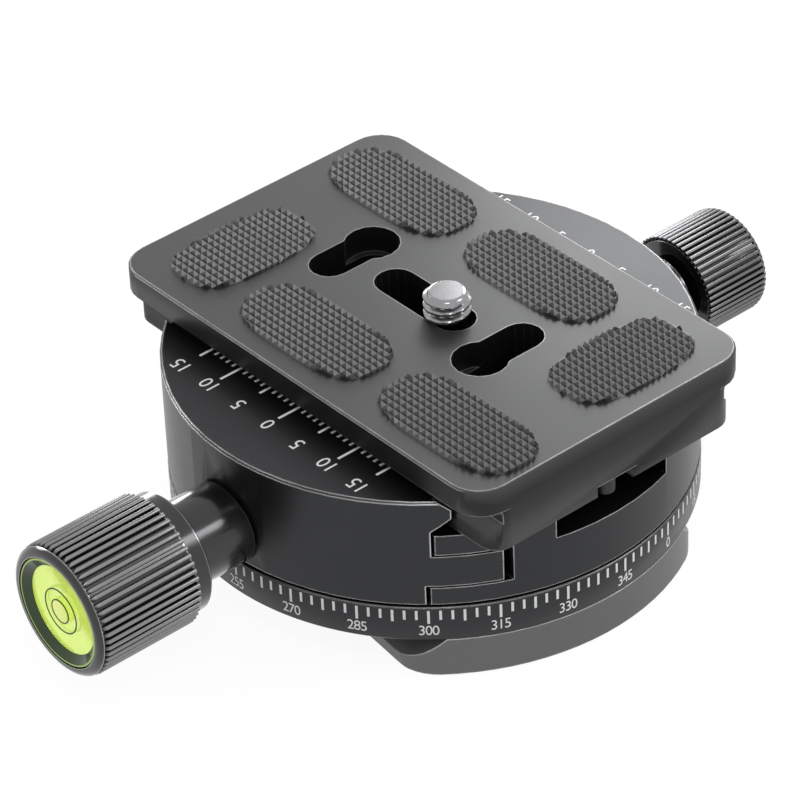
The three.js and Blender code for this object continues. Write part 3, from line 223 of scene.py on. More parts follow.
def blank_material(name):
    material = bpy.data.materials.new(name)
    material.use_nodes = True
    tree = material.node_tree
    tree.nodes.clear()
    surface = tree.nodes.new("ShaderNodeBsdfPrincipled")
    output = tree.nodes.new("ShaderNodeOutputMaterial")
    tree.links.new(surface.outputs[0], output.inputs["Surface"])
    return material, tree, surface


def bump(tree, height, depth, surface):
    made = add(tree, "ShaderNodeBump", {"Height": height, "Strength": 1.0, "Distance": depth * MM})
    tree.links.new(made.outputs[0], surface.inputs["Normal"])


def colours_mixed(tree, share, near, far):
    return add(tree, "ShaderNodeMix", {"Factor": share, "A": near, "B": (*far, 1)},
               data_type="RGBA").outputs["Result"]


# A second colour on what lies further from an axis than a given radius
def recolour_far(tree, surface, colour, axis, start, end):
    far = add(tree, "ShaderNodeGroup", {"Axis Height": axis, "From": start, "To": end},
              node_tree=AXIS_DISTANCE)
    near_colour = surface.inputs["Base Color"].links[0].from_socket
    mixed = colours_mixed(tree, far.outputs["Mask"], near_colour, colour)
    tree.links.new(mixed, surface.inputs["Base Color"])


# Painted shade: a second colour on faces that stand upright
def recolour_upright(tree, near_colour, colour):
    normal = add(tree, "ShaderNodeNewGeometry").outputs["Normal"]
    facing = add(tree, "ShaderNodeSeparateXYZ", {"Vector": normal}).outputs["Z"]
    level = add(tree, "ShaderNodeMath", {0: facing}, operation="ABSOLUTE").outputs[0]
    return colours_mixed(tree, share_between(tree, level, 0.4, 0.1), near_colour, colour)


def skin_of(tree, colour, rough, cloud, gloss_change, tooth=0.12):
    return add(tree, "ShaderNodeGroup", {
        "Colour": (*colour, 1), "Cloudiness": cloud, "Gloss Change": gloss_change,
        "Roughness": rough, "Tooth Size": tooth}, node_tree=BLASTED_SKIN).outputs


# Colour of the painted edge highlight
EDGE_HIGHLIGHT_COLOUR = (0.75, 0.75, 0.7575)


def anodised(name, colour, rough, metallic, cloud=0.16, edge_highlight=0.85, coat=0.0, sides=None,
             crest=None):
    material, tree, surface = blank_material(name)
    skin = skin_of(tree, colour, rough, cloud, 0.12)
    # Edges get a painted highlight in a light colour
    patchy_highlight = add(tree, "ShaderNodeGroup", {"Amount": edge_highlight, "Patchiness": 0.35, "Reach": 0.26},
               node_tree=EDGE_HIGHLIGHT_TREE)
    # sides: a painted shade for upright faces
    ground = recolour_upright(tree, skin["Colour"], sides) if sides else skin["Colour"]
    mixed = colours_mixed(tree, patchy_highlight.outputs["Mask"], ground, EDGE_HIGHLIGHT_COLOUR)
    tree.links.new(mixed, surface.inputs["Base Color"])
    tree.links.new(skin["Roughness"], surface.inputs["Roughness"])
    surface.inputs["Metallic"].default_value = metallic
    surface.inputs["Coat Weight"].default_value = coat
    surface.inputs["Coat Roughness"].default_value = 0.12
    # crest: a painted highlight, a lighter colour far from an axis
    if crest:
        recolour_far(tree, surface, *crest)
    bump(tree, skin["Height"], 0.004, surface)
    return material


def turned_metal(name, colour, rough, along, depth=0.01):
    material, tree, surface = blank_material(name)
    skin = skin_of(tree, colour, rough, 0.08, 0.1)
    marks = add(tree, "ShaderNodeGroup", {"Along": along, "Pitch": 0.25},
                node_tree=TURNING).outputs
    streaked = maths(tree, marks["Streak"], 0.16, "MULTIPLY_ADD", skin["Roughness"])
    tree.links.new(skin["Colour"], surface.inputs["Base Color"])
    tree.links.new(streaked, surface.inputs["Roughness"])
    surface.inputs["Metallic"].default_value = 1.0
    bump(tree, marks["Height"], depth, surface)
    return material


def moulded(name, colour, rough, cloud=0.12, tooth=0.3, depth=0.006, specular=0.5):
    material, tree, surface = blank_material(name)
    skin = skin_of(tree, colour, rough, cloud, 0.1, tooth)
    tree.links.new(skin["Colour"], surface.inputs["Base Color"])
    tree.links.new(skin["Roughness"], surface.inputs["Roughness"])
    surface.inputs["Specular IOR Level"].default_value = specular
    bump(tree, skin["Height"], depth, surface)
    return material, surface


ALONG_Y, ALONG_Z = (0, 1, 0), (0, 0, 1)
DISC_SKIN = anodised("anodised_body", (0.04, 0.041, 0.043), 0.36, 0.95)
# The plate's upright faces are darker than its level ones: painted shade
PLATE_SKIN = anodised(
    "anodised_plate", (0.066, 0.067, 0.067), 0.42, 0.9, cloud=0.1, edge_highlight=0.5,
    sides=(0.03, 0.0305, 0.0305))
KNOB_SKIN = anodised("anodised_knob", (0.032, 0.032, 0.034), 0.16, 0.9, edge_highlight=0.6, coat=0.6)
# Rib crests are lighter than the valleys: painted highlight
CLAMP_RIB_SKIN = anodised(
    "anodised_clamp_ribs", (0.04, 0.04, 0.042), 0.26, 0.95, edge_highlight=0.0,
    crest=((0.24, 0.24, 0.244), CLAMP_AXIS, 8.8, 9.06))
PAN_RIB_SKIN = anodised(
    "anodised_pan_ribs", (0.04, 0.04, 0.042), 0.26, 0.95, edge_highlight=0.0,
    crest=((0.16, 0.16, 0.164), PAN_AXIS, 7.3, 7.54))
FOOT_SKIN = anodised("anodised_foot", (0.13, 0.131, 0.133), 0.38, 0.9)
STEEL = turned_metal("turned_steel", (0.62, 0.62, 0.63), 0.2, ALONG_Z)
ROD_STEEL = turned_metal("rod_steel", (0.6, 0.6, 0.61), 0.24, ALONG_Y)
BLACK_STEEL = turned_metal("black_screw_steel", (0.05, 0.05, 0.052), 0.34, ALONG_Z)
BRIGHT_STEEL = turned_metal(
    "bright_screw_steel", (0.28, 0.28, 0.287), 0.14, ALONG_Z, depth=0.004)
BRASS = turned_metal("turned_brass", (0.66, 0.44, 0.16), 0.28, ALONG_Z)
NYLON = moulded("washer_nylon", (0.75, 0.73, 0.68), 0.5)[0]
RUBBER = moulded(
    "pad_rubber", (0.022, 0.0225, 0.0225), 0.34, cloud=0.3, depth=0.01, specular=0.75)[0]
FILLING = moulded(
    "number_filling", (0.92, 0.92, 0.91), 0.55, cloud=0.1, tooth=0.08, depth=0.004)[0]


def level_material(name, colour, rough, transmission=0.0, painted_glow=0.0, rim=None):
    material, surface = moulded(name, colour, rough, cloud=0.08, tooth=0.6, depth=0.002)
    if rim:
        recolour_far(material.node_tree, surface, *rim)
    surface.inputs["Transmission Weight"].default_value = transmission
    surface.inputs["IOR"].default_value = 1.49
    # Emission: a painted glow
    surface.inputs["Emission Color"].default_value = (*colour, 1)
    surface.inputs["Emission Strength"].default_value = painted_glow
    return material


LEVEL_CASE = level_material(
    "level_case_plastic", (0.02, 0.05, 0.008), 0.16, rim=((0.56, 0.8, 0.18), CLAMP_AXIS, 7.2, 7.26))
# The fluid and the bubble glow: painted light
LEVEL_FLUID = level_material("level_fluid", (0.7, 0.88, 0.04), 0.22, painted_glow=0.42)
LEVEL_WINDOW = level_material("level_window", (0.97, 1.0, 0.92), 0.04, transmission=1.0)
LEVEL_BUBBLE = level_material("level_bubble", (0.82, 0.93, 0.24), 0.12, painted_glow=0.25)
LEVEL_RING = level_material("level_target", (0.04, 0.08, 0.004), 0.5)


# Mesh helpers
def object_of(name, mesh, material=None):
    made = bpy.data.objects.new(name, mesh)
    bpy.context.scene.collection.objects.link(made)
    if material:
        mesh.materials.clear()
        mesh.materials.append(material)
    return made


def object_from(name, points, faces, material, crease=35):
    mesh = bpy.data.meshes.new(name)
    mesh.from_pydata([Vector(p) * MM for p in points], [], faces)
    mesh.validate()
    shade(mesh, crease)
    return object_of(name, mesh, material)


def shade(mesh, crease=35):
    mesh.shade_smooth()
    mesh.set_sharp_from_angle(angle=math.radians(crease))


def keep(piece, body, nodes=()):
    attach(piece, body)
    if nodes:
        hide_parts(*nodes)
    return piece


# Soft edges that catch the light, as a cutter leaves them
def soften(piece, width):
    made = piece.modifiers.new("soft_edges", "BEVEL")
    made.width = width * MM
    made.segments = 2
    made.limit_method = "ANGLE"
    made.angle_limit = math.radians(28)
    made.harden_normals = True
    made.use_clamp_overlap = True
    return piece


# Numbers of the level faces that lie in one plane over more than an area in square millimetres
def large_flats(work, least):
    flats, seen = [], set()
    for start in work.faces:
        if start in seen or abs(start.normal.z) < 0.999:
            continue
        patch, waiting = [], [start]
        seen.add(start)
        while waiting:
            face = waiting.pop()
            patch.append(face)
            near = {other for line in face.edges for other in line.link_faces} - seen
            level = [other for other in near if face.normal.dot(other.normal) > 0.99999]
            seen.update(level)
            waiting += level
        if sum(face.calc_area() for face in patch) > least * MM * MM:
            flats += [face.index for face in patch]
    return flats


# A merged copy of a solid's loose triangles; where its edges are softened, its flat faces are whole
def dressed_copy(node, body, material, edge):
    work = bmesh.new()
    work.from_mesh(NODES[node].data)
    bmesh.ops.remove_doubles(work, verts=work.verts, dist=0.002 * MM)
    if edge:
        bmesh.ops.dissolve_limit(
            work, angle_limit=math.radians(0.4), verts=work.verts, edges=work.edges,
            use_dissolve_boundaries=False)
    for face in work.faces:
        face.material_index = 0
    work.faces.index_update()
    flats = [] if edge else large_flats(work, 3)
    mesh = bpy.data.meshes.new(node + "_dressed")
    work.to_mesh(mesh)
    work.free()
    shade(mesh, 28)
    for index in flats:
        mesh.polygons[index].use_smooth = False
    piece = object_of(node + "_dressed", mesh, material)
    if edge:
        soften(piece, edge)
    return keep(piece, body, [node])


# Points (radius, height) turned about Z; a point on the axis is one point for the whole turn
def lathe(profile, count):
    points, rings = [], []
    for radius, height in profile:
        if radius == 0:
            rings.append([len(points)] * count)
            points.append((0, 0, height))
        else:
            rings.append([len(points) + i for i in range(count)])
            points += [
                (radius * math.cos(2 * math.pi * i / count),
                 radius * math.sin(2 * math.pi * i / count), height) for i in range(count)]
    faces = []
    for low, high in zip(rings, rings[1:]):
        for i in range(count):
            j = (i + 1) % count
            corners = [low[i], low[j], high[j], high[i]]
            faces.append([c for k, c in enumerate(corners) if c not in corners[:k]])
    return points, [f for f in faces if len(f) > 2]


# The same for a profile that ends where it starts
def closed_lathe(profile, count):
    points, faces = lathe([*profile, profile[0]], count)
    last = len(points) - count
    return points[:last], [[c - last if c >= last else c for c in f] for f in faces]


# A profile with an arc of three steps in place of each corner that has room for it
def rounded(profile, radius, steps=3):
    made = []
    for i, point in enumerate(profile):
        before, after = profile[i - 1], profile[(i + 1) % len(profile)]
        here = Vector(point)
        one, two = Vector(before) - here, Vector(after) - here
        ends = i in (0, len(profile) - 1) and point[0] == 0
        if ends or min(one.length, two.length) < 2.2 * radius:
            made.append(tuple(point))
            continue
        a, b = here + one.normalized() * radius, here + two.normalized() * radius
        for k in range(steps + 1):
            t = k / steps
            made.append(tuple(a * (1 - t) ** 2 + here * 2 * t * (1 - t) + b * t ** 2))
    return made


def laid_along_y(points, axis_height):
    return [(x, height, axis_height + y) for x, y, height in points]


def outward(piece):
    work = bmesh.new()
    work.from_mesh(piece.data)
    bmesh.ops.recalc_face_normals(work, faces=work.faces)
    work.to_mesh(piece.data)
    work.free()
    return piece


def turned_piece(name, profile, count, material, axis=None, closed=False, crease=35):
    points, faces = (closed_lathe if closed else lathe)(profile, count)
    if axis is not None:
        points = laid_along_y(points, axis)
    return outward(object_from(name, points, faces, material, crease))


def moved(piece, matrix):
    piece.data.transform(matrix)
    return piece


def joined(name, pieces, material):
    work = bmesh.new()
    for piece in pieces:
        work.from_mesh(piece.data)
        bpy.data.objects.remove(piece)
    mesh = bpy.data.meshes.new(name)
    work.to_mesh(mesh)
    work.free()
    return object_of(name, mesh, material)


# Cuts a box, given by two corners in millimetres, out of a piece
def cut_out(piece, low, high):
    corners = [(x, y, z) for z in (low[2], high[2]) for y in (low[1], high[1])
               for x in (low[0], high[0])]
    sides = [[0, 2, 3, 1], [4, 5, 7, 6], [0, 1, 5, 4], [2, 6, 7, 3], [0, 4, 6, 2], [1, 3, 7, 5]]
    cutter = object_from(piece.name + "_cutter", corners, sides, None)
    cutting = piece.modifiers.new("cut_out", "BOOLEAN")
    cutting.object = cutter
    bpy.context.view_layer.update()
    graph = bpy.context.evaluated_depsgraph_get()
    piece.data = bpy.data.meshes.new_from_object(piece.evaluated_get(graph))
    piece.modifiers.clear()
    bpy.data.objects.remove(cutter)


# Geometry Nodes helpers
def growing_tree(name, counts, sizes):
    tree = bpy.data.node_groups.new(name, "GeometryNodeTree")
    given = [(label, "NodeSocketInt") for label in counts]
    given += [(label, FLOAT) for label in sizes]
    for label, kind in [*given, ("Material", "NodeSocketMaterial")]:
        tree.interface.new_socket(name=label, in_out="INPUT", socket_type=kind)
    tree.interface.new_socket(name="Geometry", in_out="OUTPUT", socket_type="NodeSocketGeometry")
    return tree, tree.nodes.new("NodeGroupInput").outputs


def finish_tree(tree, given, geometry):
    real = add(tree, "GeometryNodeRealizeInstances", {"Geometry": geometry})
    dressed = add(tree, "GeometryNodeSetMaterial", {
        "Geometry": real.outputs[0], "Material": given["Material"]})
    out = tree.nodes.new("NodeGroupOutput")
    tree.links.new(dressed.outputs[0], out.inputs["Geometry"])
    return tree


def pick(tree, when, no, yes):
    return add(tree, "GeometryNodeSwitch", {"Switch": when, "False": no, "True": yes},
               input_type="FLOAT").outputs[0]


# True for each point whose number, with an offset, is a whole multiple of a step
def every(tree, step, offset=0):
    index = add(tree, "GeometryNodeInputIndex").outputs[0]
    moved_index = maths(tree, index, float(offset))
    rest = maths(tree, moved_index, step, "MODULO")
    return maths(tree, rest, 0.5, "LESS_THAN")


# What a tree makes with the given values, as a piece of its own
def grown(name, tree, material, crease=35, **values):
    host = object_of(name + "_host", bpy.data.meshes.new(name + "_host"))
    modifier = host.modifiers.new("grow", "NODES")
    modifier.node_group = tree
    sockets = {s.name: s.identifier for s in tree.interface.items_tree if s.in_out == "INPUT"}
    for label, value in values.items():
        modifier[sockets[label.replace("_", " ")]] = value
    modifier[sockets["Material"]] = material
    bpy.context.view_layer.update()
    graph = bpy.context.evaluated_depsgraph_get()
    mesh = bpy.data.meshes.new_from_object(host.evaluated_get(graph))
    bpy.data.objects.remove(host)
    mesh.name = name
    shade(mesh, crease)
    return object_of(name, mesh, material)


# Ribs of a knob: round bars on a circle, sunk in the barrel, that dip at their front
def rib_tree():
    tree, given = growing_tree("knob_ribs", ["Ribs"], [
        "Crest Radius", "Rib Radius", "Back", "Front", "Tip Length", "Tip Drop"])
    ring = maths(tree, given["Crest Radius"], given["Rib Radius"], "SUBTRACT")
    circle = add(tree, "GeometryNodeMeshCircle", {"Vertices": given["Ribs"], "Radius": ring})
    line = add(tree, "GeometryNodeCurvePrimitiveLine", {
        "Start": vector_of(tree, z=given["Back"]), "End": vector_of(tree, z=given["Front"])})
    jointed = add(tree, "GeometryNodeResampleCurve", {"Curve": line.outputs[0], "Count": 3})
    order = add(tree, "GeometryNodeInputIndex").outputs[0]
    bend = maths(tree, given["Front"], given["Tip Length"], "SUBTRACT")
    height = pick(tree, maths(tree, order, 0.5, "GREATER_THAN"), given["Back"], bend)
    last = maths(tree, order, 1.5, "GREATER_THAN")
    height = pick(tree, last, height, given["Front"])
    dip = pick(tree, last, 0.0, maths(tree, given["Tip Drop"], -1.0, "MULTIPLY"))
    dipped = add(tree, "GeometryNodeSetPosition", {
        "Geometry": jointed.outputs[0], "Position": vector_of(tree, x=dip, z=height)})
    round_bar = add(tree, "GeometryNodeCurvePrimitiveCircle", {
        "Resolution": 10, "Radius": given["Rib Radius"]})
    bar = add(tree, "GeometryNodeCurveToMesh", {
        "Curve": dipped.outputs[0], "Profile Curve": round_bar.outputs[0], "Fill Caps": True})
    share = maths(tree, add(tree, "GeometryNodeInputIndex").outputs[0], given["Ribs"], "DIVIDE")
    angle = maths(tree, share, 2 * math.pi, "MULTIPLY")
    bars = add(tree, "GeometryNodeInstanceOnPoints", {
        "Points": circle.outputs[0], "Instance": bar.outputs[0],
        "Rotation": vector_of(tree, z=angle)})
    return finish_tree(tree, given, bars.outputs[0])


# Marks of a scale round a ring: long, middle and short by turns
def round_scale_tree():
    tree, given = growing_tree("round_scale", ["Marks"], [
        "Ring Radius", "Width", "Thickness", "Long", "Middle", "Short", "Long Every",
        "Middle Every", "Start Angle"])
    circle = add(tree, "GeometryNodeMeshCircle", {
        "Vertices": given["Marks"], "Radius": given["Ring Radius"]})
    length = pick(tree, every(tree, given["Middle Every"]), given["Short"], given["Middle"])
    length = pick(tree, every(tree, given["Long Every"]), length, given["Long"])
    drop = maths(tree, length, -0.5, "MULTIPLY")
    lowered = add(tree, "GeometryNodeSetPosition", {
        "Geometry": circle.outputs[0], "Offset": vector_of(tree, z=drop)})
    bar = add(tree, "GeometryNodeMeshCube", {
        "Size": vector_of(tree, given["Thickness"], given["Width"], 1.0)})
    index = add(tree, "GeometryNodeInputIndex").outputs[0]
    share = maths(tree, index, given["Marks"], "DIVIDE")
    angle = maths(tree, share, 2 * math.pi, "MULTIPLY")
    bars = add(tree, "GeometryNodeInstanceOnPoints", {
        "Points": lowered.outputs[0], "Instance": bar.outputs[0],
        "Rotation": vector_of(tree, z=angle), "Scale": vector_of(tree, 1.0, 1.0, length)})
    turned = add(tree, "GeometryNodeTransform", {
        "Geometry": bars.outputs[0], "Rotation": vector_of(tree, z=given["Start Angle"])})
    return finish_tree(tree, given, turned.outputs[0])


# Marks of a straight scale along X, its zero in the middle
def straight_scale_tree():
    tree, given = growing_tree("straight_scale", ["Steps"], [
        "Step", "Width", "Thickness", "Long", "End", "Middle", "Short"])
    count = maths(tree, given["Steps"], 1.0)
    reach = maths(tree, maths(tree, given["Steps"], given["Step"], "MULTIPLY"), -0.5, "MULTIPLY")
    line = add(tree, "GeometryNodeMeshLine", {
        "Count": count, "Start Location": vector_of(tree, x=reach),
        "Offset": vector_of(tree, x=given["Step"])})
    length = pick(tree, every(tree, 5.0), given["Short"], given["Middle"])
    length = pick(tree, every(tree, 30.0), length, given["End"])
    length = pick(tree, every(tree, 10.0, 5), length, given["Long"])
    out = maths(tree, length, -0.5, "MULTIPLY")
    placed = add(tree, "GeometryNodeSetPosition", {
        "Geometry": line.outputs[0], "Offset": vector_of(tree, y=out)})
    bar = add(tree, "GeometryNodeMeshCube", {
        "Size": vector_of(tree, given["Width"], 1.0, given["Thickness"])})
    bars = add(tree, "GeometryNodeInstanceOnPoints", {
        "Points": placed.outputs[0], "Instance": bar.outputs[0],
        "Scale": vector_of(tree, 1.0, length, 1.0)})
    return finish_tree(tree, given, bars.outputs[0])


# Pyramids in rows inside a rounded outline
def pyramid_tree():
    tree, given = growing_tree("pad_pyramids", ["Columns", "Rows"], [
        "Half X", "Half Y", "Squareness", "Pitch X", "Pitch Y", "Height"])
    span_x = maths(tree, maths(tree, given["Columns"], -1.0), given["Pitch X"], "MULTIPLY")
    span_y = maths(tree, maths(tree, given["Rows"], -1.0), given["Pitch Y"], "MULTIPLY")
    grid = add(tree, "GeometryNodeMeshGrid", {
        "Size X": span_x, "Size Y": span_y, "Vertices X": given["Columns"],
        "Vertices Y": given["Rows"]})
    place = add(tree, "ShaderNodeSeparateXYZ", {
        "Vector": add(tree, "GeometryNodeInputPosition").outputs[0]})

    def share(along, half):
        part = maths(tree, place.outputs[along], half, "DIVIDE")
        size = add(tree, "ShaderNodeMath", {0: part}, operation="ABSOLUTE").outputs[0]
        return maths(tree, size, given["Squareness"], "POWER")

    total = maths(tree, share("X", given["Half X"]), share("Y", given["Half Y"]))
    outside = maths(tree, total, 1.0, "GREATER_THAN")
    inside = add(tree, "GeometryNodeDeleteGeometry", {
        "Geometry": grid.outputs[0], "Selection": outside}, domain="POINT")
    cone = add(tree, "GeometryNodeMeshCone", {
        "Vertices": 4, "Side Segments": 1, "Radius Top": 0.1,
        "Radius Bottom": math.sqrt(0.5) * 0.9, "Depth": given["Height"]}, fill_type="NGON")
    squared = add(tree, "GeometryNodeTransform", {
        "Geometry": cone.outputs["Mesh"], "Rotation": (0, 0, math.pi / 4)})
    cones = add(tree, "GeometryNodeInstanceOnPoints", {
        "Points": inside.outputs[0], "Instance": squared.outputs[0],
        "Scale": vector_of(tree, given["Pitch X"], given["Pitch Y"], 1.0)})
    return finish_tree(tree, given, cones.outputs[0])


# Socket head screws in rows, heads down
def socket_screw_tree():
    tree, given = growing_tree("socket_screws", ["Columns", "Rows"], [
        "Span X", "Span Y", "Head Radius", "Head Height", "Shank Radius", "Shank Length",
        "Socket Radius", "Socket Depth"])
    grid = add(tree, "GeometryNodeMeshGrid", {
        "Size X": given["Span X"], "Size Y": given["Span Y"], "Vertices X": given["Columns"],
        "Vertices Y": given["Rows"]})

    def bar(radius, low, length, sides):
        rod = add(tree, "GeometryNodeMeshCylinder", {
            "Vertices": sides, "Radius": radius, "Depth": length})
        middle = maths(tree, low, maths(tree, length, 0.5, "MULTIPLY"))
        return add(tree, "GeometryNodeTransform", {
            "Geometry": rod.outputs["Mesh"], "Translation": vector_of(tree, z=middle)}).outputs[0]

    deep = maths(tree, given["Socket Depth"], 2.0, "MULTIPLY")
    low = maths(tree, given["Socket Depth"], -1.0, "MULTIPLY")
    head = bar(given["Head Radius"], 0.0, given["Head Height"], 48)
    socket = bar(given["Socket Radius"], low, deep, 6)
    shank = bar(given["Shank Radius"], given["Head Height"], given["Shank Length"], 32)
    bored = add(tree, "GeometryNodeMeshBoolean", {"Mesh 1": head, "Mesh 2": socket},
                operation="DIFFERENCE")
    whole = tree.nodes.new("GeometryNodeJoinGeometry")
    tree.links.new(bored.outputs[0], whole.inputs[0])
    tree.links.new(shank, whole.inputs[0])
    screws = add(tree, "GeometryNodeInstanceOnPoints", {
        "Points": grid.outputs[0], "Instance": whole.outputs[0]})
    return finish_tree(tree, given, screws.outputs[0])


# A coil of round wire along Z
def coil_tree():
    tree, given = growing_tree("coil_spring", [], [
        "Turns", "Coil Radius", "Wire Radius", "Length"])
    coil = add(tree, "GeometryNodeCurveSpiral", {
        "Resolution": 28, "Rotations": given["Turns"], "Start Radius": given["Coil Radius"],
        "End Radius": given["Coil Radius"], "Height": given["Length"]})
    wire = add(tree, "GeometryNodeCurvePrimitiveCircle", {
        "Resolution": 10, "Radius": given["Wire Radius"]})
    body = add(tree, "GeometryNodeCurveToMesh", {
        "Curve": coil.outputs[0], "Profile Curve": wire.outputs[0], "Fill Caps": True})
    return finish_tree(tree, given, body.outputs[0])


RIBS = rib_tree()
ROUND_SCALE = round_scale_tree()
STRAIGHT_SCALE = straight_scale_tree()
PYRAMIDS = pyramid_tree()
SOCKET_SCREWS = socket_screw_tree()
COIL = coil_tree()


# Numbers and marks: white filling that stands a little out of the metal
def number_mesh(text, height, width_share, spacing):
    curve = bpy.data.curves.new("number", "FONT")
    curve.body = text
    curve.align_x = "CENTER"
    curve.size = 1.0
    curve.extrude = 0.5
    curve.space_character = spacing
    curve.resolution_u = 4
    holder = bpy.data.objects.new("number", curve)
    bpy.context.scene.collection.objects.link(holder)
    bpy.context.view_layer.update()
    graph = bpy.context.evaluated_depsgraph_get()
    mesh = bpy.data.meshes.new_from_object(holder.evaluated_get(graph))
    bpy.data.objects.remove(holder)
    tall = max(v.co.y for v in mesh.vertices)
    scale = height / tall
    for v in mesh.vertices:
        v.co = Vector((
            v.co.x * scale * width_share, (v.co.y - tall / 2) * scale, v.co.z * FILLING_THICK))
    return mesh


def numbers(name, meshes, body):
    work = bmesh.new()
    for mesh in meshes:
        work.from_mesh(mesh)
        bpy.data.meshes.remove(mesh)
    mesh = bpy.data.meshes.new(name)
    work.to_mesh(mesh)
    work.free()
    keep(object_of(name, mesh, FILLING), body)


def wrap_on_ring(mesh, angle, height):
    for v in mesh.vertices:
        turn = angle + v.co.x / BODY_RADIUS
        out = BODY_RADIUS + v.co.z
        v.co = Vector((out * math.cos(turn), out * math.sin(turn), height + v.co.y)) * MM
    return mesh


DEGREE_STEP, DEGREES_PER_MARK = 15, 2.5
DEGREE_HEIGHT, DEGREE_ROW, DEGREE_MARK_ROW = 1.5, RING_TOP - 3.62, RING_TOP - 0.5


def degree_band():
    labels = []
    for number in range(0, 360, DEGREE_STEP):
        mesh = number_mesh(str(number), DEGREE_HEIGHT, 0.92, 0.88)
        labels.append(wrap_on_ring(mesh, ZERO_TURN + math.radians(number), DEGREE_ROW))
    numbers("degree_numbers", labels, "base")
    marks = grown(
        "degree_marks", ROUND_SCALE, FILLING, Marks=int(360 / DEGREES_PER_MARK),
        Ring_Radius=BODY_RADIUS * MM, Width=0.34 * MM, Thickness=FILLING_THICK * MM,
        Long=2.05 * MM, Middle=1.8 * MM, Short=1.45 * MM, Long_Every=6.0, Middle_Every=3.0,
        Start_Angle=ZERO_TURN)
    keep(moved(marks, Matrix.Translation((0, 0, DEGREE_MARK_ROW * MM))), "base")


SCALE_STEP, SCALE_ZERO, SCALE_ROW = 1.163, -0.06, 21.15
SCALE_END = 15


def slide_scale(name, body, turn, number_row, number_height):
    def at(x, y):
        return Matrix.Rotation(turn, 4, "Z") @ Matrix.Translation(Vector((x, y, BODY_TOP)) * MM)

    marks = grown(
        name + "_marks", STRAIGHT_SCALE, FILLING, Steps=2 * SCALE_END, Step=SCALE_STEP * MM,
        Width=0.38 * MM, Thickness=FILLING_THICK * MM, Long=4.3 * MM, End=3.0 * MM,
        Middle=2.6 * MM, Short=1.45 * MM)
    keep(moved(marks, at(SCALE_ZERO, -SCALE_ROW)), body)
    labels = []
    for number in range(-SCALE_END, SCALE_END + 1, 5):
        mesh = number_mesh(str(abs(number)), number_height, 0.95, 1.0)
        mesh.transform(Matrix.Scale(MM, 4))
        place = at(number * SCALE_STEP + SCALE_ZERO, -number_row)
        mesh.transform(place @ Matrix.Rotation(math.pi, 4, "Z"))
        labels.append(mesh)
    numbers(name + "_numbers", labels, body)


# Turned ring: bored for the bush and the spindle, with the slide washer's groove in its top
def standing_ring():
    low, high, radius = 5.75, RING_TOP, BODY_RADIUS
    bush, bush_top = 6.55, 8.2
    spindle, spindle_seat = 2.55, 9.0
    groove_inner, groove_outer, groove_floor = 19.95, 27.05, RING_TOP - 0.6
    profile = [
        (0, bush_top), (bush, bush_top), (bush, low),
        (radius - 0.35, low), (radius - 0.2, low + 0.04), (radius, low + 0.32),
        (radius, high - 0.22), (radius - 0.03, high - 0.12), (radius - 0.22, high),
        (groove_outer, high), (groove_outer, groove_floor), (groove_inner, groove_floor),
        (groove_inner, high), (spindle, high), (spindle, spindle_seat), (0, spindle_seat)]
    ring = turned_piece("degree_ring_turned", profile, 192, DISC_SKIN, crease=50)
    keep(ring, "base", ["degree_ring"])


def screws():
    feet = grown(
        "foot_screws_turned", SOCKET_SCREWS, STEEL, Columns=2, Rows=2, Span_X=26 * MM,
        Span_Y=20 * MM, Head_Radius=2.75 * MM, Head_Height=2 * MM, Shank_Radius=1.5 * MM,
        Shank_Length=6.9 * MM, Socket_Radius=1.45 * MM, Socket_Depth=1.2 * MM)
    moved(feet, Matrix.Rotation(FOOT_TURN, 4, "Z") @ Matrix.Translation((0, 0, 0.3 * MM)))
    soften(keep(feet, "base", [f"foot_screw_{i}" for i in range(1, 5)]), 0.15)
    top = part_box("spindle_screw")[1].z
    spindle = grown(
        "spindle_screw_turned", SOCKET_SCREWS, STEEL, Columns=1, Rows=1, Span_X=0.0, Span_Y=0.0,
        Head_Radius=4.2 * MM, Head_Height=3 * MM, Shank_Radius=2.5 * MM, Shank_Length=9.4 * MM,
        Socket_Radius=2.3 * MM, Socket_Depth=2 * MM)
    moved(spindle, Matrix.Translation((0, 0, top)) @ Matrix.Rotation(math.pi, 4, "X"))
    soften(keep(spindle, "base", ["spindle_screw"]), 0.2)


# Knobs: a turned barrel with a hole for its screw, and ribs set round it
LEVEL_WELL_FLOOR = -57.6


def clamp_knob():
    face, hole_end, rib_back, collar_back = -61.9, -54.5, -46.25, -43.7
    crest, valley, collar, lip, well, hole = 9.14, 8.55, 8.3, 7.9, 7.62, 2.95
    bevel_depth = 1.35
    bevel = [
        (lip + (crest - lip) * math.cos(turn), face + bevel_depth * (1 - math.sin(turn)))
        for turn in (math.pi / 2 * k / 8 for k in range(3, 9))]
    profile = [
        (0, hole_end), (hole, hole_end), (hole, collar_back),
        (collar - 0.25, collar_back), (collar, collar_back - 0.25), (collar, rib_back + 0.15),
        (valley, rib_back), (valley, face + 0.8), *bevel,
        (well, face), (well, LEVEL_WELL_FLOOR), (0, LEVEL_WELL_FLOOR)]
    barrel = turned_piece("clamp_knob_barrel", profile, 128, KNOB_SKIN, CLAMP_AXIS, crease=40)
    keep(barrel, "clamp_drive", ["clamp_knob"])
    ribs = grown(
        "clamp_knob_ribs", RIBS, CLAMP_RIB_SKIN, crease=60, Ribs=54, Crest_Radius=crest * MM,
        Rib_Radius=0.34 * MM, Back=-rib_back * MM, Front=(-face - 0.55) * MM,
        Tip_Length=0.85 * MM, Tip_Drop=0.5 * MM)
    moved(ribs, Matrix.Translation((0, 0, CLAMP_AXIS * MM)) @ Matrix.Rotation(math.pi / 2, 4, "X"))
    keep(ribs, "clamp_drive")


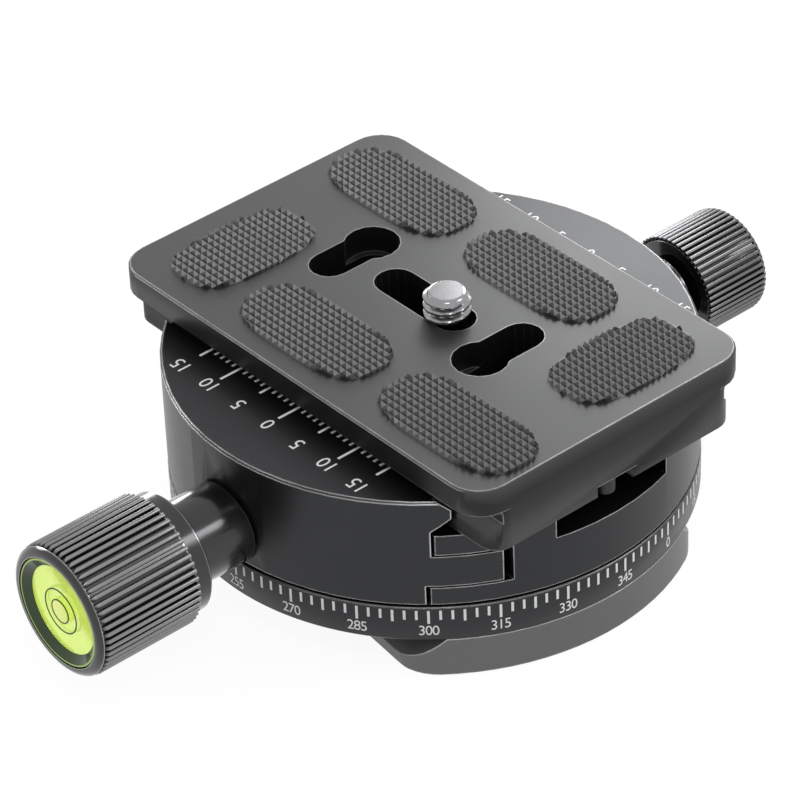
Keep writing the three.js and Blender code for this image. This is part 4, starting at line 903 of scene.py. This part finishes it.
def pan_knob():
    face, hole_end, back = 54.3, 51.0, 43.2
    lip, valley, dish, hole = 7.36, 7.08, 4.6, 1.95
    profile = [
        (0, hole_end), (hole, hole_end), (hole, back), (valley - 0.18, back),
        (valley, back + 0.18), (valley, face - 0.85), (lip, face - 0.75), (lip - 0.06, face - 0.5),
        (lip - 0.31, face - 0.2), (lip - 0.76, face - 0.04), (lip - 1.06, face), (dish, face),
        (dish - 0.1, face - 0.25), (0, face - 0.25)]
    barrel = turned_piece("pan_knob_barrel", profile, 128, KNOB_SKIN, PAN_AXIS, crease=50)
    keep(barrel, "pan_drive", ["pan_knob"])
    ribs = grown(
        "pan_knob_ribs", RIBS, PAN_RIB_SKIN, crease=60, Ribs=52, Crest_Radius=7.6 * MM,
        Rib_Radius=0.3 * MM, Back=(back + 0.05) * MM, Front=(face - 0.45) * MM,
        Tip_Length=0.6 * MM, Tip_Drop=0.3 * MM)
    moved(ribs, Matrix.Translation((0, 0, PAN_AXIS * MM)) @ Matrix.Rotation(-math.pi / 2, 4, "X"))
    keep(ribs, "pan_drive")


# Bubble level in the clamp knob: a light rim, a dark slope and a bright disc; the fluid and the
# bubble glow a little, a painted light, and the dark ring round the bubble is a painted shade of
# its edge
def bubble_level():
    front, floor = -61.8, LEVEL_WELL_FLOOR
    case_radius, bore, slope = 7.5, 6.2, 0.85
    case = turned_piece("level_case_moulded", [
        (0, floor), (case_radius, floor), (case_radius, front + 0.12),
        (case_radius - 0.1, front), (case_radius - 0.3, front), (case_radius - 0.4, front + 0.08),
        (bore, front + slope), (bore, floor - 0.9), (0, floor - 0.9)], 96, LEVEL_CASE, CLAMP_AXIS)
    keep(case, "clamp_drive", ["level_case"])
    inside = bore - 0.05
    fluid = turned_piece("level_fluid_body", [
        (0, front + 1.4), (inside, front + 1.4), (inside, floor - 0.92), (0, floor - 0.92)], 96,
        LEVEL_FLUID, CLAMP_AXIS)
    keep(fluid, "clamp_drive", ["level_liquid"])
    window = turned_piece("level_window_glass", [
        (0, front + 0.5), (2.0, front + 0.53), (4.2, front + 0.66), (inside, front + 0.88),
        (inside, front + 1.36), (0, front + 1.36)], 96, LEVEL_WINDOW, CLAMP_AXIS, crease=30)
    keep(window, "clamp_drive", ["level_cap"])
    # The target ring is print; the ring round the bubble is a painted shade of the bubble's edge
    for name, inner, outer, rise in (("target", 3.02, 3.2, 0.54), ("bubble", 1.56, 1.72, 0.42)):
        ring = turned_piece(f"level_{name}_ring", [
            (inner, front + rise), (outer, front + rise), (outer, front + rise + 0.12),
            (inner, front + rise + 0.12)], 96, LEVEL_RING, CLAMP_AXIS, closed=True)
        keep(ring, "clamp_drive")
    bubble = turned_piece("level_bubble_lens", [
        (0, front + 0.34), (0.9, front + 0.36), (1.45, front + 0.42), (1.62, front + 0.5),
        (1.6, front + 0.56), (0, front + 0.56)], 64, LEVEL_BUBBLE, CLAMP_AXIS, crease=60)
    keep(bubble, "clamp_drive")


# Pads: middle, half length and half width
PADS = [
    (-26.2, -9.3, 5.55, 9.9), (-21.9, 14.5, 11.7, 5.55), (-5.3, -14.5, 11.7, 5.55),
    (5.3, 14.5, 11.7, 5.55), (21.9, -14.5, 11.7, 5.55), (26.2, 9.3, 5.55, 9.9)]
PAD_PITCH_X, PAD_PITCH_Y, PYRAMID_HEIGHT = 1.2, 1.05, 0.56
PAD_SQUARENESS, PAD_LAP, PAD_OVERRUN, PAD_RIM = 3.0, 0.3, 0.6, 0.04
PAD_DEPTH, PAD_RISE, PAD_STEPS = 0.6, 0.03, 72


# Pyramids that cross the pad's outline end on it, as the mould cuts them
def trim_to_outline(mesh, half_x, half_y):
    for v in mesh.vertices:
        reach = abs(v.co.x / half_x) ** PAD_SQUARENESS + abs(v.co.y / half_y) ** PAD_SQUARENESS
        inward = 1 / max(1.0, reach ** (1 / PAD_SQUARENESS))
        v.co.x, v.co.y, v.co.z = v.co.x * inward, v.co.y * inward, v.co.z * inward ** 8


def pad(number, x, y, half_x, half_y):
    outline = []
    for i in range(PAD_STEPS):
        angle = 2 * math.pi * i / PAD_STEPS
        c, s = math.cos(angle), math.sin(angle)
        outline.append((
            x + (half_x + PAD_LAP) * math.copysign(abs(c) ** (2 / PAD_SQUARENESS), c),
            y + (half_y + PAD_LAP) * math.copysign(abs(s) ** (2 / PAD_SQUARENESS), s)))
    low, high = PLATE_TOP - PAD_DEPTH, PLATE_TOP + PAD_RISE
    points = [(px, py, z) for z in (low, high) for px, py in outline]
    around = [(i, (i + 1) % PAD_STEPS) for i in range(PAD_STEPS)]
    faces = [[j for _, j in reversed(around)], [j + PAD_STEPS for _, j in around]]
    faces += [[i, j, j + PAD_STEPS, i + PAD_STEPS] for i, j in around]
    slab = object_from(f"pad_{number}_sheet", points, faces, RUBBER)
    span_x, span_y = half_x + PAD_OVERRUN, half_y + PAD_OVERRUN
    pyramids = grown(
        f"pad_{number}_pyramids", PYRAMIDS, RUBBER, crease=5, Half_X=span_x * MM,
        Half_Y=span_y * MM, Squareness=PAD_SQUARENESS,
        Columns=2 * int(span_x / PAD_PITCH_X) + 1, Rows=2 * int(span_y / PAD_PITCH_Y) + 1,
        Pitch_X=PAD_PITCH_X * MM, Pitch_Y=PAD_PITCH_Y * MM, Height=PYRAMID_HEIGHT * MM)
    reach = PAD_LAP - PAD_RIM
    trim_to_outline(pyramids.data, (half_x + reach) * MM, (half_y + reach) * MM)
    moved(pyramids, Matrix.Translation(Vector((x, y, high)) * MM))
    whole = joined(f"rubber_pad_{number}_moulded", [slab, pyramids], RUBBER)
    keep(whole, "plate", [f"rubber_pad_{number}"])


# A screw thread: each row follows the helix round, flanks at sixty degrees, crests broken. Near
# its end the crest falls by tip_run over the height tip.
def threaded_rod(name, root, crest, pitch, low, high, material, tip, tip_run):
    around, per_pitch = 72, 12
    rows = round((high - low) * per_pitch / pitch)
    points = []
    for row in range(rows + 1):
        z = low + (high - low) * row / rows
        fade = min(1.0, max(0.0, (high - tip - z) / 0.35 + 0.4))
        for i in range(around):
            turn = (z / pitch - i / around) % 1.0
            wave = min(1.0, max(0.0, 1.45 - 3.2 * abs(turn - 0.5)))
            radius = root + (crest - root) * wave * fade
            radius = min(radius, crest - tip_run * max(0.0, z - (high - tip)) / tip)
            angle = 2 * math.pi * i / around
            points.append((radius * math.cos(angle), radius * math.sin(angle), z))
    faces = []
    for row in range(rows):
        for i in range(around):
            base, j = row * around, (i + 1) % around
            faces.append([base + i, base + j, base + around + j, base + around + i])
    faces.append(list(reversed(range(around))))
    faces.append([rows * around + i for i in range(around)])
    return object_from(name, points, faces, material, crease=50)


# Quarter inch screw of twenty threads per inch, with a coin slot in its head
THREAD_ROOT, THREAD_CREST, THREAD_PITCH = 2.5, 3.12, 1.27
HEAD_RADIUS, HEAD_HEIGHT, SHANK_RADIUS = 4.8, 2.6, 2.45
COIN_SLOT_HALF, COIN_SLOT_DEPTH = 0.7, 1.3


def camera_screw():
    low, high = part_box("camera_screw")
    middle = Vector(((low.x + high.x) / 2, (low.y + high.y) / 2, 0))
    bottom, top = low.z / MM, high.z / MM
    shoulder = bottom + HEAD_HEIGHT
    head = turned_piece("camera_screw_head", rounded([
        (0, bottom), (HEAD_RADIUS, bottom), (HEAD_RADIUS, shoulder), (SHANK_RADIUS, shoulder),
        (SHANK_RADIUS, PLATE_TOP + 0.1), (SHANK_RADIUS - 0.05, PLATE_TOP + 0.9),
        (0, PLATE_TOP + 0.9)], 0.25), 96, BRIGHT_STEEL)
    cut_out(head, (-8, -COIN_SLOT_HALF, bottom - 2), (8, COIN_SLOT_HALF, bottom + COIN_SLOT_DEPTH))
    thread = threaded_rod(
        "camera_screw_thread", THREAD_ROOT, THREAD_CREST, THREAD_PITCH, PLATE_TOP + 0.12, top,
        BRIGHT_STEEL, tip=0.4, tip_run=0.95)
    whole = joined("camera_screw_turned", [head, thread], BRIGHT_STEEL)
    shade(whole.data, 20)
    moved(whole, Matrix.Translation(middle))
    keep(whole, "camera_bolt", ["camera_screw"])


SPRING_X, SPRING_AXIS = 20, BODY_TOP - 10.825
SPRING_START, SPRING_LENGTH = -14.7, 6.0


# Springs at their seats in the body
def jaw_springs():
    coils = []
    for side in (-1, 1):
        coil = grown(
            f"coil_{side}", COIL, ROD_STEEL, crease=60, Turns=5.0, Coil_Radius=1.6 * MM,
            Wire_Radius=0.2 * MM, Length=SPRING_LENGTH * MM)
        seat = Matrix.Translation(Vector((side * SPRING_X, SPRING_START, SPRING_AXIS)) * MM)
        coils.append(moved(coil, seat @ Matrix.Rotation(math.pi / 2, 4, "X")))
    whole = joined("jaw_springs_wound", coils, ROD_STEEL)
    shade(whole.data, 60)
    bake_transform(whole)
    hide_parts("jaw_spring_1", "jaw_spring_2")


# Solids that keep their shape, with softened edges and their finish
DRESSED = {
    "base": {
        "base_foot": ("anodised", FOOT_SKIN, 0.1),
        "tripod_bush": ("steel", STEEL, 0.1),
        "reducer_bush": ("brass", BRASS, 0.1),
        "slide_washer": ("nylon", NYLON, 0),
        "top_washer": ("nylon", NYLON, 0),
        "pan_drum": ("anodised", DISC_SKIN, 0.1),
        "keeper_plate": ("steel", STEEL, 0.15),
    },
    "turntable": {
        "clamp_body": ("anodised", DISC_SKIN, 0.12),
        "guide_pin_1": ("steel", ROD_STEEL, 0.1),
        "guide_pin_2": ("steel", ROD_STEEL, 0.1),
        "pan_neck": ("anodised", KNOB_SKIN, 0.1),
    },
    "jaw": {
        "clamp_jaw": ("anodised", DISC_SKIN, 0.12),
        "clamp_neck": ("anodised", KNOB_SKIN, 0.1),
        "thrust_washer": ("nylon", NYLON, 0),
    },
    "clamp_drive": {"clamp_screw": ("steel", ROD_STEEL, 0.1)},
    "shoe": {"brake_shoe": ("brass", BRASS, 0.1)},
    "pan_drive": {"pan_screw": ("steel", ROD_STEEL, 0.1)},
    "plate": {
        "quick_plate": ("anodised_plate", PLATE_SKIN, 0),
        "stop_screw_1": ("black_steel", BLACK_STEEL, 0.1),
        "stop_screw_2": ("black_steel", BLACK_STEEL, 0.1),
    },
    "screw_carrier": {"camera_washer": ("nylon", NYLON, 0)},
}
for body_name, members in DRESSED.items():
    for node_name, (slot_name, skin, edge_width) in members.items():
        dressed_copy(node_name, body_name, skin, edge_width)
# Room over the ring for the neck when the jaw closes
cut_out(bpy.data.objects["clamp_neck_dressed"], (-8, -35.45, 5), (8, -32, RING_TOP + 0.06))

standing_ring()
screws()
degree_band()
slide_scale("front_scale", "jaw", 0.0, 27.25, 2.05)
slide_scale("back_scale", "turntable", math.pi, 27.95, 1.8)
clamp_knob()
pan_knob()
bubble_level()
for pad_number, pad_place in enumerate(PADS, 1):
    pad(pad_number, *pad_place)
camera_screw()
jaw_springs()


# Floor, backdrop and light. 1 for what the camera sees, straight on or in metal and glass
def seen_rays(tree):
    path = add(tree, "ShaderNodeLightPath").outputs
    mirrored = maths(tree, path["Is Camera Ray"], path["Is Glossy Ray"], "MAXIMUM")
    return maths(tree, mirrored, path["Is Transmission Ray"], "MAXIMUM")


def white_floor():
    mesh = bpy.data.meshes.new("floor")
    work = bmesh.new()
    bmesh.ops.create_circle(work, cap_ends=True, segments=64, radius=3.0)
    work.to_mesh(mesh)
    work.free()
    material = bpy.data.materials.new("pale_floor")
    material.use_nodes = True
    tree = material.node_tree
    tree.nodes.clear()
    matt = add(tree, "ShaderNodeBsdfDiffuse", {"Color": (0.62, 0.62, 0.62, 1)})
    white = add(tree, "ShaderNodeEmission", {"Color": (1, 1, 1, 1), "Strength": 1.13})
    share = maths(tree, seen_rays(tree), 0.82, "MULTIPLY")
    mixed = add(tree, "ShaderNodeMixShader", {
        0: share, 1: matt.outputs[0], 2: white.outputs[0]})
    output = tree.nodes.new("ShaderNodeOutputMaterial")
    tree.links.new(mixed.outputs[0], output.inputs["Surface"])
    floor = object_of("floor", mesh, material)
    floor.location.z = -0.0002


def soft_light(name, place, size, power, target=(0, 0, 0.02)):
    data = bpy.data.lights.new(name, "AREA")
    data.shape = "RECTANGLE"
    data.size, data.size_y = size
    data.energy = power
    lamp = bpy.data.objects.new(name, data)
    bpy.context.scene.collection.objects.link(lamp)
    lamp.location = place
    aim = Vector(target) - Vector(place)
    lamp.rotation_euler = aim.to_track_quat("-Z", "Y").to_euler()


def studio():
    world = bpy.data.worlds.new("studio")
    bpy.context.scene.world = world
    world.use_nodes = True
    tree = world.node_tree
    tree.nodes.clear()
    level = add(tree, "ShaderNodeMapRange", {
        "Value": seen_rays(tree), "To Min": 0.5, "To Max": 1.0})
    light = add(tree, "ShaderNodeBackground", {"Color": (1, 1, 1, 1), "Strength": level.outputs[0]})
    output = tree.nodes.new("ShaderNodeOutputWorld")
    tree.links.new(light.outputs[0], output.inputs["Surface"])
    soft_light("front_top_light", (0.33, -0.27, 0.62), (0.16, 0.16), 0.9)
    soft_light("left_light", (-0.62, -0.23, 0.19), (0.2, 0.2), 0.9)
    soft_light("right_rear_light", (0.41, 0.36, 0.44), (0.22, 0.22), 1.0)
    soft_light("left_rear_light", (-0.43, 0.27, 0.09), (0.3, 0.16), 0.8)
    soft_light(
        "rear_panel", (-0.048, 0.1, 0.089), (0.075, 0.05), 0.08, target=(0, 0.031, 0.028))


white_floor()
studio()
bpy.context.scene.view_settings.view_transform = "Standard"
